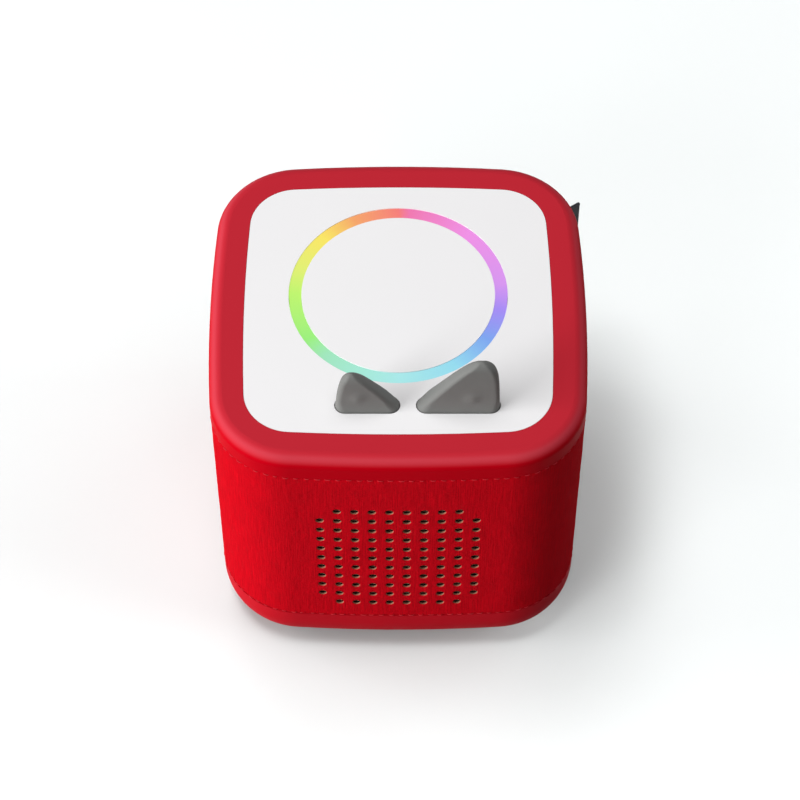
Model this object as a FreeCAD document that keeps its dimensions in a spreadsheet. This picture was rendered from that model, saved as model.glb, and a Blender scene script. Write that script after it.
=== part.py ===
import FreeCAD, Part
import math
import os
import Sketcher

# Audio story player: a padded fabric cube that plays a story while a figure stands on its lit top.
# Two ear-shaped buttons set the volume, a round button at the back switches it on and off.
#
# Frame, in millimetres: +Z up, origin on the floor under the middle of the body. The front, with
# the speaker, faces -Y, and the sockets face +Y.

V = FreeCAD.Vector
doc = FreeCAD.newDocument("StoryPlayer")
sheet = doc.addObject("Spreadsheet::Sheet", "Sizes")
pieces = {}


# ---------------------------------------------------------------------------------------------
# Sizes: each driving dimension is one cell of the sheet
# ---------------------------------------------------------------------------------------------


class Size:
    """A length that knows its number and the sheet formula that it comes from."""

    def __init__(self, value, formula=None):
        self.value = float(value)
        self.formula = formula or repr(float(value))

    def __add__(self, other):
        other = as_size(other)
        return Size(self.value + other.value, f"({self.formula} + {other.formula})")

    def __sub__(self, other):
        other = as_size(other)
        return Size(self.value - other.value, f"({self.formula} - {other.formula})")

    def __mul__(self, other):
        other = as_size(other)
        return Size(self.value * other.value, f"({self.formula} * {other.formula})")

    def __truediv__(self, other):
        other = as_size(other)
        return Size(self.value / other.value, f"({self.formula} / {other.formula})")

    def __neg__(self):
        return Size(-self.value, f"(0 - {self.formula})")

    def root(self):
        return Size(math.sqrt(self.value), f"sqrt({self.formula})")


def as_size(number):
    return number if isinstance(number, Size) else Size(number)


def size(alias, value):
    """Writes a driving dimension into the next row of the sheet."""
    row = sheet.getUsedCells().__len__() // 2 + 1
    sheet.set(f"A{row}", alias)
    sheet.set(f"B{row}", str(value))
    sheet.setAlias(f"B{row}", alias)
    return Size(value, f"Sizes.{alias}")


# Body: a cube with bowed sides, softly rounded above and bowl-like below
body_width = size("body_width", 120)
body_height = size("body_height", 112)
foot_proud = size("foot_proud", 1)
bow_radius = size("bow_radius", 510)
corner_radius = size("corner_radius", 26.6)
rim_edge_radius = size("rim_edge_radius", 4.2)
base_edge_radius = size("base_edge_radius", 16)

# Cover: fabric sewn to a soft rim above and below, over a foam wrap
top_seam_drop = size("top_seam_drop", 9.1)
base_seam_height = size("base_seam_height", 20.6)
fabric_thickness = size("fabric_thickness", 1.2)
flange_thickness = size("flange_thickness", 1)
sewing_flange = size("sewing_flange", 4)
foam_thickness = size("foam_thickness", 3.2)
rim_top_thickness = size("rim_top_thickness", 2.5)
base_floor = size("base_floor", 2)
fit_gap = size("fit_gap", 0.1)
turning_gap = size("turning_gap", 0.05)
overcut = size("overcut", 1)

# Speaker holes: a plain rounded field of holes at one pitch
hole_radius = size("hole_radius", 1.2)
hole_pitch = size("hole_pitch", 5.5)
hole_columns = 10
hole_rows = 11
hole_margin = size("hole_margin", 4.05)
speaker_rise = size("speaker_rise", 1)

# Housing: a deep tub, a deck that closes it, and a frame that carries the top
housing_wall = size("housing_wall", 2)
deck_depth = size("deck_depth", 13.5)
deck_thickness = size("deck_thickness", 2)
frame_lip = size("frame_lip", 4)
frame_flange = size("frame_flange", 2)
boss_wall = size("boss_wall", 2.4)
post_wall = size("post_wall", 1.5)
boss_clearance = size("boss_clearance", 0.9)
base_inset = size("base_inset", 20)
base_corner = size("base_corner", 12)
base_plate_thickness = size("base_plate_thickness", 2)

# Top: a flush panel with a ring of light round the figure's place
rim_width = size("rim_width", 11)
panel_corner = size("panel_corner", 15.1)
panel_bow = size("panel_bow", 628)
panel_thickness = size("panel_thickness", 2.6)
ring_back = size("ring_back", 5.3)
ring_inner = size("ring_inner", 31)
ring_width = size("ring_width", 3.8)
ring_recess = size("ring_recess", 0.2)
ring_gap = size("ring_gap", 0.15)
wall_thickness = size("wall_thickness", 1.2)
board_thickness = size("board_thickness", 1.6)
board_standoff = size("board_standoff", 1.5)
control_board_inset = size("control_board_inset", 3)
control_board_ledge = size("control_board_ledge", 8)
control_screw_inset = size("control_screw_inset", 7)
led_length = size("led_length", 2)
led_height = size("led_height", 1)
led_count = 16
antenna_depth = size("antenna_depth", 4.6)
coil_margin = size("coil_margin", 3)
coil_pitch = size("coil_pitch", 1.6)
coil_height = size("coil_height", 0.2)
magnet_radius = size("magnet_radius", 7)
magnet_height = size("magnet_height", 2.5)

# Ear buttons: two tapered fins that are pressed straight down
ear_depth = size("ear_depth", 5.8)
ear_tip_depth = size("ear_tip_depth", 2.6)
ear_setback = size("ear_setback", 8.5)
ear_meeting = size("ear_meeting", 3.1)
ear_spacing = size("ear_spacing", 5.5)
ear_gap = size("ear_gap", 0.35)
ear_lip = size("ear_lip", 0.2)
ear_shelf = size("ear_shelf", 1)
ear_shelf_thickness = size("ear_shelf_thickness", 1.5)
ear_travel = size("ear_travel", 1.2)
ear_blade = size("ear_blade", 4)
ear_blade_width = size("ear_blade_width", 7)
ear_blade_thickness = size("ear_blade_thickness", 1.6)
small_ear_width = size("small_ear_width", 19.8)
small_ear_apex = size("small_ear_apex", 19.7)
small_ear_lean = size("small_ear_lean", 3.5)
small_ear_peak_radius = size("small_ear_peak_radius", 2.5)
small_ear_spring_place = size("small_ear_spring_place", 6.2)
small_ear_pip = size("small_ear_pip", 2.1)
small_ear_pip_place = size("small_ear_pip_place", -2.9)
large_ear_width = size("large_ear_width", 25.6)
large_ear_apex = size("large_ear_apex", 31.2)
large_ear_lean = size("large_ear_lean", 2.2)
large_ear_peak_radius = size("large_ear_peak_radius", 4.5)
large_ear_spring_place = size("large_ear_spring_place", 8.5)
large_ear_pip = size("large_ear_pip", 2.5)
large_ear_pip_place = size("large_ear_pip_place", 4.2)
pip_height = size("pip_height", 7.2)
pip_proud = size("pip_proud", 0.4)
spring_radius = size("spring_radius", 1.7)
spring_wire = size("spring_wire", 0.4)
spring_turns = 5
spring_pin_radius = size("spring_pin_radius", 0.9)
spring_pin_length = size("spring_pin_length", 3)
switch_width = size("switch_width", 6)
switch_height = size("switch_height", 3.5)
plunger_radius = size("plunger_radius", 1.7)
plunger_proud = size("plunger_proud", 1.8)
plunger_root = size("plunger_root", 0.4)

# Speaker: a round driver screwed to a flat seat inside the front wall
speaker_radius = size("speaker_radius", 29.5)
speaker_flange = size("speaker_flange", 6)
speaker_seat = size("speaker_seat", 1.6)
speaker_screw_inset = size("speaker_screw_inset", 2.5)
basket_sheet = size("basket_sheet", 0.8)
basket_depth = size("basket_depth", 12.8)
gasket_thickness = size("gasket_thickness", 1)
gasket_width = size("gasket_width", 1.9)
basket_lip = size("basket_lip", 0.9)
basket_vent_radius = size("basket_vent_radius", 2.4)
basket_vents = 8
membrane_thickness = size("membrane_thickness", 0.4)
roll_height = size("roll_height", 0.9)
cone_throat = size("cone_throat", 3)
dust_cap_rise = size("dust_cap_rise", 1)
coil_thickness = size("coil_thickness", 0.6)
coil_clearance = size("coil_clearance", 0.4)
speaker_plate = size("speaker_plate", 2)
terminal_width = size("terminal_width", 6)
terminal_height = size("terminal_height", 3.4)
terminal_thickness = size("terminal_thickness", 1.1)
surround_width = size("surround_width", 3.5)
coil_radius = size("coil_radius", 7)
speaker_magnet_radius = size("speaker_magnet_radius", 15)
speaker_magnet_height = size("speaker_magnet_height", 5)
grille_reach = size("grille_reach", 30)
grille_thickness = size("grille_thickness", 2.6)
cloth_thickness = size("cloth_thickness", 0.4)

# Battery: two round cells in a tray, reached through a door in the base
cell_radius = size("cell_radius", 9.2)
cell_length = size("cell_length", 65.2)
cell_spacing = size("cell_spacing", 1)
cell_end_room = size("cell_end_room", 3.4)
cell_side_room = size("cell_side_room", 1.1)
tray_wall = size("tray_wall", 1.5)
door_end_lap = size("door_end_lap", 1)
door_side_lap = size("door_side_lap", 7)
door_screw_inset = size("door_screw_inset", 2.6)
foot_radius = size("foot_radius", 5)
foot_recess = size("foot_recess", 0.6)
foot_side_offset = size("foot_side_offset", 2.75)
foot_end_offset = size("foot_end_offset", 5.75)

# Main board and sockets at the back
main_board_length = size("main_board_length", 76)
main_board_front = size("main_board_front", 7)
main_board_gap = size("main_board_gap", 2.4)
main_board_height = size("main_board_height", 33)
main_post_inset = size("main_post_inset", 5)
chip_width = size("chip_width", 8)
chip_height = size("chip_height", 1.2)
capacitor_radius = size("capacitor_radius", 1.8)
capacitor_height = size("capacitor_height", 5)
plug_width = size("plug_width", 6)
plug_depth = size("plug_depth", 5)
plug_height = size("plug_height", 5.4)
speaker_plug_side = size("speaker_plug_side", 10)
battery_plug_side = size("battery_plug_side", -14)
wire_run = size("wire_run", 12)
ribbon_socket_height = size("ribbon_socket_height", 2.6)
ribbon_socket_depth = size("ribbon_socket_depth", 3)
port_width = size("port_width", 56)
port_height = size("port_height", 14)
port_corner = size("port_corner", 5)
port_rise = size("port_rise", 2.9)
port_recess = size("port_recess", 0.4)
port_thickness = size("port_thickness", 2)
port_spacing = size("port_spacing", 15)
usb_width = size("usb_width", 8.94)
usb_height = size("usb_height", 3.26)
usb_shell = size("usb_shell", 0.3)
usb_recess = size("usb_recess", 0.5)
usb_length = size("usb_length", 9)
jack_bore = size("jack_bore", 1.75)
jack_nose = size("jack_nose", 3)
jack_nose_length = size("jack_nose_length", 4)
jack_depth = size("jack_depth", 13)
power_radius = size("power_radius", 4)
power_travel = size("power_travel", 0.8)
power_proud = size("power_proud", 0.5)
power_clearance = size("power_clearance", 0.3)

# Side tab: a folded ribbon sewn into the band at the right rear corner
tab_reach = size("tab_reach", 7.4)
tab_height = size("tab_height", 18)
tab_drop = size("tab_drop", 11)
tab_thickness = size("tab_thickness", 1)
tab_angle = 34.7

# Screws
screw_radius = size("screw_radius", 1.5)
screw_head_rim = size("screw_head_rim", 1.1)
screw_head_height = size("screw_head_height", 1.7)
screw_length = size("screw_length", 12)
small_screw_radius = size("small_screw_radius", 1)
small_screw_head_rim = size("small_screw_head_rim", 0.9)
small_screw_head_height = size("small_screw_head_height", 1.2)
small_screw_length = size("small_screw_length", 5)
lead_radius = size("lead_radius", 0.7)
lead_spread = size("lead_spread", 1.7)
ribbon_width = size("ribbon_width", 10)
ribbon_thickness = size("ribbon_thickness", 0.3)
ribbon_back = size("ribbon_back", 30)
ribbon_side = size("ribbon_side", 26)
ribbon_bow = size("ribbon_bow", 4)

doc.recompute()



def corner_middle(edge_half, bow, corner):
    """How far along X, and along Y, the middle of a bowed square's rounded corner lies."""
    setback = edge_half - bow
    reach_to_corner = bow - corner
    return (setback + (reach_to_corner * reach_to_corner * 2 - setback * setback).root()) / 2


# Levels and widths that follow from them
half = body_width / 2
base = foot_proud
top = base + body_height
top_seam = top - top_seam_drop
base_seam = base + base_seam_height
fabric_inner = half - fabric_thickness
flange_outer = fabric_inner - fit_gap
flange_inner = flange_outer - flange_thickness
foam_inner = flange_outer - foam_thickness
housing_outer = foam_inner - fit_gap
housing_inner = housing_outer - housing_wall
housing_base = base + base_plate_thickness + fit_gap
housing_floor = housing_base + housing_wall
deck_top = top - deck_depth
deck_base = deck_top - deck_thickness
housing_top = deck_base - fit_gap
panel_base = top - panel_thickness
frame_top = panel_base - fit_gap
control_base = deck_top + board_standoff
control_top = control_base + board_thickness
ring_top = top - ring_recess
ear_shelf_top = panel_base - fit_gap
ear_shelf_base = ear_shelf_top - ear_shelf_thickness
plunger_top = control_top + switch_height + plunger_proud
body_corner = corner_middle(half, bow_radius, corner_radius)
boss_radius = screw_radius + boss_wall
post_radius = small_screw_radius + post_wall
screw_head_radius = screw_radius + screw_head_rim
small_screw_head_radius = small_screw_radius + small_screw_head_rim
inner_corner_radius = corner_radius - (half - housing_inner)
boss_place = body_corner + (inner_corner_radius - screw_head_radius - boss_clearance) * math.sqrt(0.5)
panel_half = half - rim_width
frame_half = panel_half - frame_lip
control_half = panel_half - control_board_inset
control_screw_place = control_half - control_screw_inset
ring_outer = ring_inner + ring_width
figure_radius = ring_inner - ring_gap
skirt_outer = figure_radius - wall_thickness - ring_gap * 2
skirt_inner = skirt_outer - wall_thickness
ear_line = ring_back - ring_outer - ear_setback
small_ear_middle = ear_meeting - ear_spacing / 2 - small_ear_width / 2
large_ear_middle = ear_meeting + ear_spacing / 2 + large_ear_width / 2
speaker_height = base + body_height / 2 + speaker_rise
speaker_bore = speaker_radius - speaker_flange
speaker_screw_place = speaker_radius - speaker_screw_inset
cone_radius = speaker_bore - surround_width
hole_field_half = hole_pitch * ((hole_columns - 1) / 2)
grille_half = hole_field_half + hole_radius + hole_margin
base_half = half - base_inset
base_corner_middle = corner_middle(base_half, bow_radius, base_corner)
foot_x = base_corner_middle + foot_side_offset
foot_y = base_corner_middle + foot_end_offset
cell_spread = cell_radius + cell_spacing / 2
tray_half_length = cell_length / 2 + cell_end_room
tray_half_width = cell_spread + cell_radius + cell_side_room
tray_base = housing_floor + turning_gap
tray_roof = tray_base + cell_radius * 2 + cell_spacing / 2
tray_top = tray_roof + tray_wall
door_half_length = tray_half_length + door_end_lap
door_half_width = tray_half_width + door_side_lap
door_screw_place = door_half_width - door_screw_inset
main_board_half = main_board_length / 2
main_board_back = housing_inner - main_board_gap
main_board_top = main_board_height + board_thickness
main_post_x = main_board_half - main_post_inset
main_post_front = main_board_front + main_post_inset
main_post_back = main_board_back - main_post_inset
port_middle = main_board_top + port_rise


# ---------------------------------------------------------------------------------------------
# Shop functions
# ---------------------------------------------------------------------------------------------


def bind(target, path, amount):
    target.setExpression(path, as_size(amount).formula)


def place(target, x=0, y=0, z=0):
    for axis, amount in zip("xyz", (x, y, z)):
        bind(target, f"Placement.Base.{axis}", amount)
    return target


def turn(target, axis, degrees):
    target.Placement = FreeCAD.Placement(V(0, 0, 0), FreeCAD.Rotation(axis, degrees))
    return target


def piece(label, shape_object):
    """Marks an object as a sub-part: its label names the file that it is written to."""
    shape_object.Label = label
    pieces[label] = shape_object
    return shape_object


def new_body(name):
    return doc.addObject("PartDesign::Body", name)


def new_sketch(body, name, role="XY_Plane", lift=0):
    plane = next(feature for feature in body.Origin.OriginFeatures if feature.Role == role)
    sketch = body.newObject("Sketcher::SketchObject", name)
    sketch.AttachmentSupport = (plane, [""])
    sketch.MapMode = "FlatFace"
    bind(sketch, "AttachmentOffset.Base.z", lift)
    return sketch


def fix(sketch, kind, *where, amount):
    """Adds a dimension to a sketch and ties it to the sheet."""
    amount = as_size(amount)
    index = sketch.addConstraint(Sketcher.Constraint(kind, *where, amount.value))
    sketch.setExpression(f"Constraints[{index}]", amount.formula)


def fix_point(sketch, geometry, position, x, y):
    fix(sketch, "DistanceX", -1, 1, geometry, position, amount=x)
    fix(sketch, "DistanceY", -1, 1, geometry, position, amount=y)


def draw_polygon(sketch, corners):
    """A closed outline of straight lines, each corner dimensioned from the origin."""
    corners = [(as_size(x), as_size(y)) for x, y in corners]
    points = [V(x.value, y.value, 0) for x, y in corners]
    lines = []
    for start, end in zip(points, points[1:] + points[:1]):
        lines.append(sketch.addGeometry(Part.LineSegment(start, end), False))
    for line, following in zip(lines, lines[1:] + lines[:1]):
        sketch.addConstraint(Sketcher.Constraint("Coincident", line, 2, following, 1))
    for line, (x, y) in zip(lines, corners):
        fix_point(sketch, line, 1, x, y)


def draw_circle(sketch, x, y, radius):
    circle = sketch.addGeometry(Part.Circle(V(x.value, y.value, 0), V(0, 0, 1), radius.value), False)
    fix(sketch, "Radius", circle, amount=radius)
    fix_point(sketch, circle, 3, x, y)


def draw_bowed_square(sketch, edge_half, bow):
    """Four long arcs, one a side, that meet in sharp corners on the diagonals."""
    centre = (edge_half - bow).value
    corner = (centre + math.sqrt(2 * bow.value ** 2 - centre ** 2)) / 2
    sweep = math.atan2(corner, corner - centre)
    arcs = []
    for side in range(4):
        heading = side * math.pi / 2
        middle = V(centre * math.cos(heading), centre * math.sin(heading), 0)
        circle = Part.Circle(middle, V(0, 0, 1), bow.value)
        arc = Part.ArcOfCircle(circle, heading - sweep, heading + sweep)
        arcs.append(sketch.addGeometry(arc, False))
    for side, arc in enumerate(arcs):
        sketch.addConstraint(Sketcher.Constraint("Coincident", arc, 2, arcs[(side + 1) % 4], 1))
        fix(sketch, "Radius", arc, amount=bow)
        setback = bow - edge_half if side >= 2 else edge_half - bow
        if side % 2 == 0:
            fix_point(sketch, arc, 3, setback, 0)
        else:
            fix_point(sketch, arc, 3, 0, setback)


def draw_stadium(sketch, half_length, radius):
    """A slot shape along X, round at both ends, about the origin."""
    reach_x = (half_length - radius).value
    end = radius.value
    right = Part.ArcOfCircle(Part.Circle(V(reach_x, 0, 0), V(0, 0, 1), end), -math.pi / 2, math.pi / 2)
    left = Part.ArcOfCircle(Part.Circle(V(-reach_x, 0, 0), V(0, 0, 1), end), math.pi / 2, 3 * math.pi / 2)
    right = sketch.addGeometry(right, False)
    left = sketch.addGeometry(left, False)
    back = sketch.addGeometry(Part.LineSegment(V(reach_x, end, 0), V(-reach_x, end, 0)), False)
    front = sketch.addGeometry(Part.LineSegment(V(-reach_x, -end, 0), V(reach_x, -end, 0)), False)
    for first, second in ((right, back), (back, left), (left, front), (front, right)):
        sketch.addConstraint(Sketcher.Constraint("Tangent", first, 2, second, 1))
    fix(sketch, "Radius", right, amount=radius)
    fix_point(sketch, right, 3, half_length - radius, 0)
    fix_point(sketch, left, 3, radius - half_length, 0)


def add_pad(body, sketch, length, symmetric=False):
    pad = body.newObject("PartDesign::Pad", sketch.Name + "_pad")
    pad.Profile = sketch
    pad.SideType = "Symmetric" if symmetric else "One side"
    bind(pad, "Length", length)
    doc.recompute()
    return pad


def add_fillet(body, name, radius, wanted):
    """Rounds the edges of the body's last feature for which wanted(edge) is true."""
    feature = body.Tip
    names = [f"Edge{i + 1}" for i, edge in enumerate(feature.Shape.Edges) if wanted(edge)]
    fillet = body.newObject("PartDesign::Fillet", name)
    fillet.Base = (feature, names)
    bind(fillet, "Radius", radius)
    doc.recompute()
    return fillet


def is_upright(edge):
    direction = edge.Vertexes[-1].Point - edge.Vertexes[0].Point
    return direction.Length > 0 and abs(direction.z) > 0.999 * direction.Length


def at_level(level):
    return lambda edge: max(abs(vertex.Z - level.value) for vertex in edge.Vertexes) < 0.001


def bowed_block(name, edge_half, bow, corner, low, high):
    """A solid block with a bowed square plan and rounded upright corners."""
    body = new_body(name)
    sketch = new_sketch(body, name + "_plan", lift=low)
    draw_bowed_square(sketch, edge_half, bow)
    add_pad(body, sketch, high - low)
    add_fillet(body, name + "_corners", corner, is_upright)
    return body


def layer_block(name, edge_half, low, high):
    """A block that runs parallel to the body's outer wall, however far inside it."""
    inset = half - edge_half
    return bowed_block(name, edge_half, bow_radius - inset, corner_radius - inset, low, high)


def panel_block(name, edge_half, low, high):
    """A block that runs parallel to the edge of the top panel."""
    inset = panel_half - edge_half
    return bowed_block(name, edge_half, panel_bow - inset, panel_corner - inset, low, high)


def box(name, low, high):
    """A box from its lowest to its highest corner."""
    low = [as_size(amount) for amount in low]
    high = [as_size(amount) for amount in high]
    solid = doc.addObject("Part::Box", name)
    for side, start, end in zip(("Length", "Width", "Height"), low, high):
        bind(solid, side, end - start)
    return place(solid, *low)


def rounded_box(name, low, high, corner, facing="XY_Plane"):
    """A box with four rounded edges, along Z or, facing XZ_Plane, along Y."""
    low = [as_size(amount) for amount in low]
    high = [as_size(amount) for amount in high]
    body = new_body(name)
    if facing == "XY_Plane":
        sketch = new_sketch(body, name + "_plan", lift=low[2])
        start, end, length = (low[0], low[1]), (high[0], high[1]), high[2] - low[2]
    else:
        sketch = new_sketch(body, name + "_face", "XZ_Plane", lift=-high[1])
        start, end, length = (low[0], low[2]), (high[0], high[2]), high[1] - low[1]
    draw_polygon(sketch, [start, (end[0], start[1]), end, (start[0], end[1])])
    add_pad(body, sketch, length)
    along = V(0, 0, 1) if facing == "XY_Plane" else V(0, 1, 0)

    def runs_along(edge):
        direction = edge.Vertexes[-1].Point - edge.Vertexes[0].Point
        return abs(direction.dot(along)) > 0.999 * direction.Length

    add_fillet(body, name + "_corners", corner, runs_along)
    return body


def rod(name, radius, length, x=0, y=0, z=0, axis=None):
    """A round bar that starts at x, y, z and runs along +Z, or along the axis given."""
    solid = doc.addObject("Part::Cylinder", name)
    bind(solid, "Radius", radius)
    bind(solid, "Height", length)
    if axis is not None:
        solid.Placement = FreeCAD.Placement(V(0, 0, 0), FreeCAD.Rotation(V(0, 0, 1), axis))
    return place(solid, x, y, z)


def fuse(name, *solids):
    fused = doc.addObject("Part::MultiFuse", name)
    fused.Shapes = list(solids)
    return fused


def cut(name, solid, *tools):
    result = doc.addObject("Part::Cut", name)
    result.Base = solid
    result.Tool = tools[0] if len(tools) == 1 else fuse(name + "_tools", *tools)
    return result


def common(name, first, second):
    result = doc.addObject("Part::MultiCommon", name)
    result.Shapes = [first, second]
    return result


def tube(name, outer, inner, low, high, x=0, y=0):
    """An upright tube between two levels."""
    bar = rod(name + "_bar", outer, high - low, x, y, low)
    bore = rod(name + "_bore", inner, high - low + overcut * 2, x, y, low - overcut)
    return cut(name, bar, bore)


def turned(name, corners):
    """A piece turned about the Z axis from its outline in radius and height."""
    body = new_body(name)
    sketch = new_sketch(body, name + "_section", "XZ_Plane")
    draw_polygon(sketch, corners)
    feature = body.newObject("PartDesign::Revolution", name + "_turned")
    feature.Profile = sketch
    feature.ReferenceAxis = (sketch, ["V_Axis"])
    feature.Angle = 360
    doc.recompute()
    return body


def bundle(name, solids):
    """Separate solids kept together as one object."""
    group = doc.addObject("Part::Compound", name)
    group.Links = solids
    return group


def copies(name, template, places):
    """A group of like solids: the template, which is drawn about the origin, at each place."""
    return bundle(name, [place(bundle(f"{name}_{number}", [template]), *spot)
                         for number, spot in enumerate(places)])


def four_corners(x, y, z):
    return [(x, y, z), (-x, y, z), (-x, -y, z), (x, -y, z)]


def main_board_places(level):
    """The main board's four screw places, the front pair first."""
    return [(main_post_x, main_post_front, level), (-main_post_x, main_post_front, level),
            (main_post_x, main_post_back, level), (-main_post_x, main_post_back, level)]


def screw(name, radius, head_radius, head_height, length):
    """A pan-head screw with its head's underside at the origin and a cross recess."""
    shank = rod(name + "_shank", radius, length, z=-length)
    head = rod(name + "_head", head_radius, head_height)
    recess_depth = head_height / 2
    recess_half = head_radius * 0.6
    slot_half = head_radius * 0.12
    blades = []
    for number, (x, y) in enumerate(((recess_half, slot_half), (slot_half, recess_half))):
        low = (-x, -y, head_height - recess_depth)
        blades.append(box(f"{name}_recess_{number}", low, (x, y, head_height + overcut)))
    return cut(name, fuse(name + "_solid", shank, head), *blades)


# ---------------------------------------------------------------------------------------------
# Cover: soft rims, fabric band and foam wrap
# ---------------------------------------------------------------------------------------------


def make_speaker_holes():
    """The drills for one field of holes, with its four corner holes left out."""
    drill = rod("hole_drill", hole_radius, half, axis=V(0, 1, 0))
    lowest = speaker_height - hole_pitch * ((hole_rows - 1) / 2)
    places = []
    for column in range(hole_columns):
        for row in range(hole_rows):
            if column in (0, hole_columns - 1) and row in (0, hole_rows - 1):
                continue
            x = hole_pitch * column - hole_field_half
            places.append((x, -half - overcut, lowest + hole_pitch * row))
    return copies("speaker_holes", drill, places)


def port_window(name, gap, front):
    """The rounded window round the sockets, from the plane y = front out past the back."""
    low = (-port_width / 2 - gap, front, port_middle - port_height / 2 - gap)
    high = (port_width / 2 + gap, half + overcut, port_middle + port_height / 2 + gap)
    return rounded_box(name, low, high, port_corner + gap, facing="XZ_Plane")


def make_top_rim():
    outer = layer_block("top_rim_outer", half, top_seam, top)
    add_fillet(outer, "top_rim_edge", rim_edge_radius, at_level(top))
    flange = layer_block("top_rim_flange", flange_outer, top_seam - sewing_flange, top - rim_top_thickness)
    hollow = layer_block("top_rim_hollow", flange_inner, top_seam - sewing_flange - overcut,
                         top - rim_top_thickness)
    opening = panel_block("top_rim_opening", panel_half, panel_base - overcut, top + overcut)
    piece("top_rim", cut("top_rim", fuse("top_rim_solid", outer, flange), hollow, opening))


def make_bottom_rim():
    outer = layer_block("bottom_rim_outer", half, base, base_seam)
    add_fillet(outer, "bottom_rim_edge", base_edge_radius, at_level(base))
    flange = layer_block("bottom_rim_flange", flange_outer, base_seam - flange_thickness,
                         base_seam + sewing_flange)
    hollow = layer_block("bottom_rim_hollow", flange_inner, base + base_floor,
                         base_seam + sewing_flange + overcut)
    hollow_edge = base_edge_radius - (half - flange_inner)
    add_fillet(hollow, "bottom_rim_hollow_edge", hollow_edge, at_level(base + base_floor))
    opening = bowed_block("bottom_rim_opening", base_half + fit_gap, bow_radius,
                          base_corner + fit_gap, base - overcut, base + base_floor + overcut)
    piece("bottom_rim", cut("bottom_rim", fuse("bottom_rim_solid", outer, flange), hollow, opening))


def place_at_corner(target, level):
    """Stands a piece on the middle of the right rear corner, with its X axis along the tab."""
    turn(target, V(0, 0, 1), tab_angle)
    return place(target, body_corner, body_corner, level)


def make_side_tab():
    """One ribbon folded in half: two leaves that part a little before the stitched end."""
    root = corner_radius - fabric_thickness
    tip = corner_radius + tab_reach
    body = new_body("side_tab")
    sketch = new_sketch(body, "side_tab_plan")
    leaf = tab_thickness / 2
    crease = tab_thickness * 0.1
    draw_polygon(sketch, [(root, -leaf), (tip - leaf, -leaf), (tip, -leaf / 2), (tip, leaf / 2),
                          (tip - leaf, leaf), (root, leaf), (root, crease), (tip - tab_thickness, 0),
                          (root, -crease)])
    add_pad(body, sketch, tab_height)
    piece("side_tab", place_at_corner(body, top - tab_drop - tab_height))


def make_fabric_band(holes):
    low = base_seam + fit_gap
    high = top_seam - fit_gap
    outer = layer_block("fabric_band_outer", half, low, high)
    inner = layer_block("fabric_band_inner", fabric_inner, low - overcut, high + overcut)
    slit = new_body("fabric_slit")
    sketch = new_sketch(slit, "fabric_slit_plan")
    slit_half = tab_thickness / 2 + fit_gap
    slit_root = corner_radius - fabric_thickness - overcut
    slit_end = corner_radius + overcut
    draw_polygon(sketch, [(slit_root, -slit_half), (slit_end, -slit_half), (slit_end, slit_half),
                          (slit_root, slit_half)])
    add_pad(slit, sketch, tab_height + fit_gap * 2)
    place_at_corner(slit, top - tab_drop - tab_height - fit_gap)
    window = port_window("fabric_port_window", fit_gap, foam_inner)
    piece("fabric_band", cut("fabric_band", outer, inner, holes, slit, window))


def grille_box(name, gap):
    """The box that bounds the grille, its cloth and, with a gap, the window round them."""
    middle = speaker_height
    low = (-grille_half - gap, -half - overcut, middle - grille_reach - gap)
    high = (grille_half + gap, -housing_outer + overcut, middle + grille_reach + gap)
    return box(name, low, high)


def make_foam_band():
    low = base_seam + sewing_flange + fit_gap
    high = top_seam - sewing_flange - fit_gap
    outer = layer_block("foam_band_outer", flange_outer, low, high)
    inner = layer_block("foam_band_inner", foam_inner, low - overcut, high + overcut)
    front = grille_box("foam_grille_window", fit_gap)
    back = port_window("foam_port_window", fit_gap, housing_inner)
    piece("foam_band", cut("foam_band", outer, inner, front, back))


def make_speaker_grille(holes):
    inner_face = flange_outer - grille_thickness
    low = speaker_height - grille_reach * 2
    high = speaker_height + grille_reach * 2
    outer = layer_block("grille_outer", flange_outer, low, high)
    inner = layer_block("grille_inner", inner_face, low - overcut, high + overcut)
    slab = common("grille_slab", outer, grille_box("grille_bounds", as_size(0)))
    piece("speaker_grille", cut("speaker_grille", slab, inner, holes))
    cloth_face = inner_face - fit_gap
    cloth_outer = layer_block("cloth_outer", cloth_face, low, high)
    cloth_inner = layer_block("cloth_inner", cloth_face - cloth_thickness, low - overcut, high + overcut)
    cloth = common("cloth_slab", cloth_outer, grille_box("cloth_bounds", as_size(0)))
    piece("speaker_cloth", cut("speaker_cloth", cloth, cloth_inner))


# ---------------------------------------------------------------------------------------------
# Housing, base and battery
# ---------------------------------------------------------------------------------------------


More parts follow.
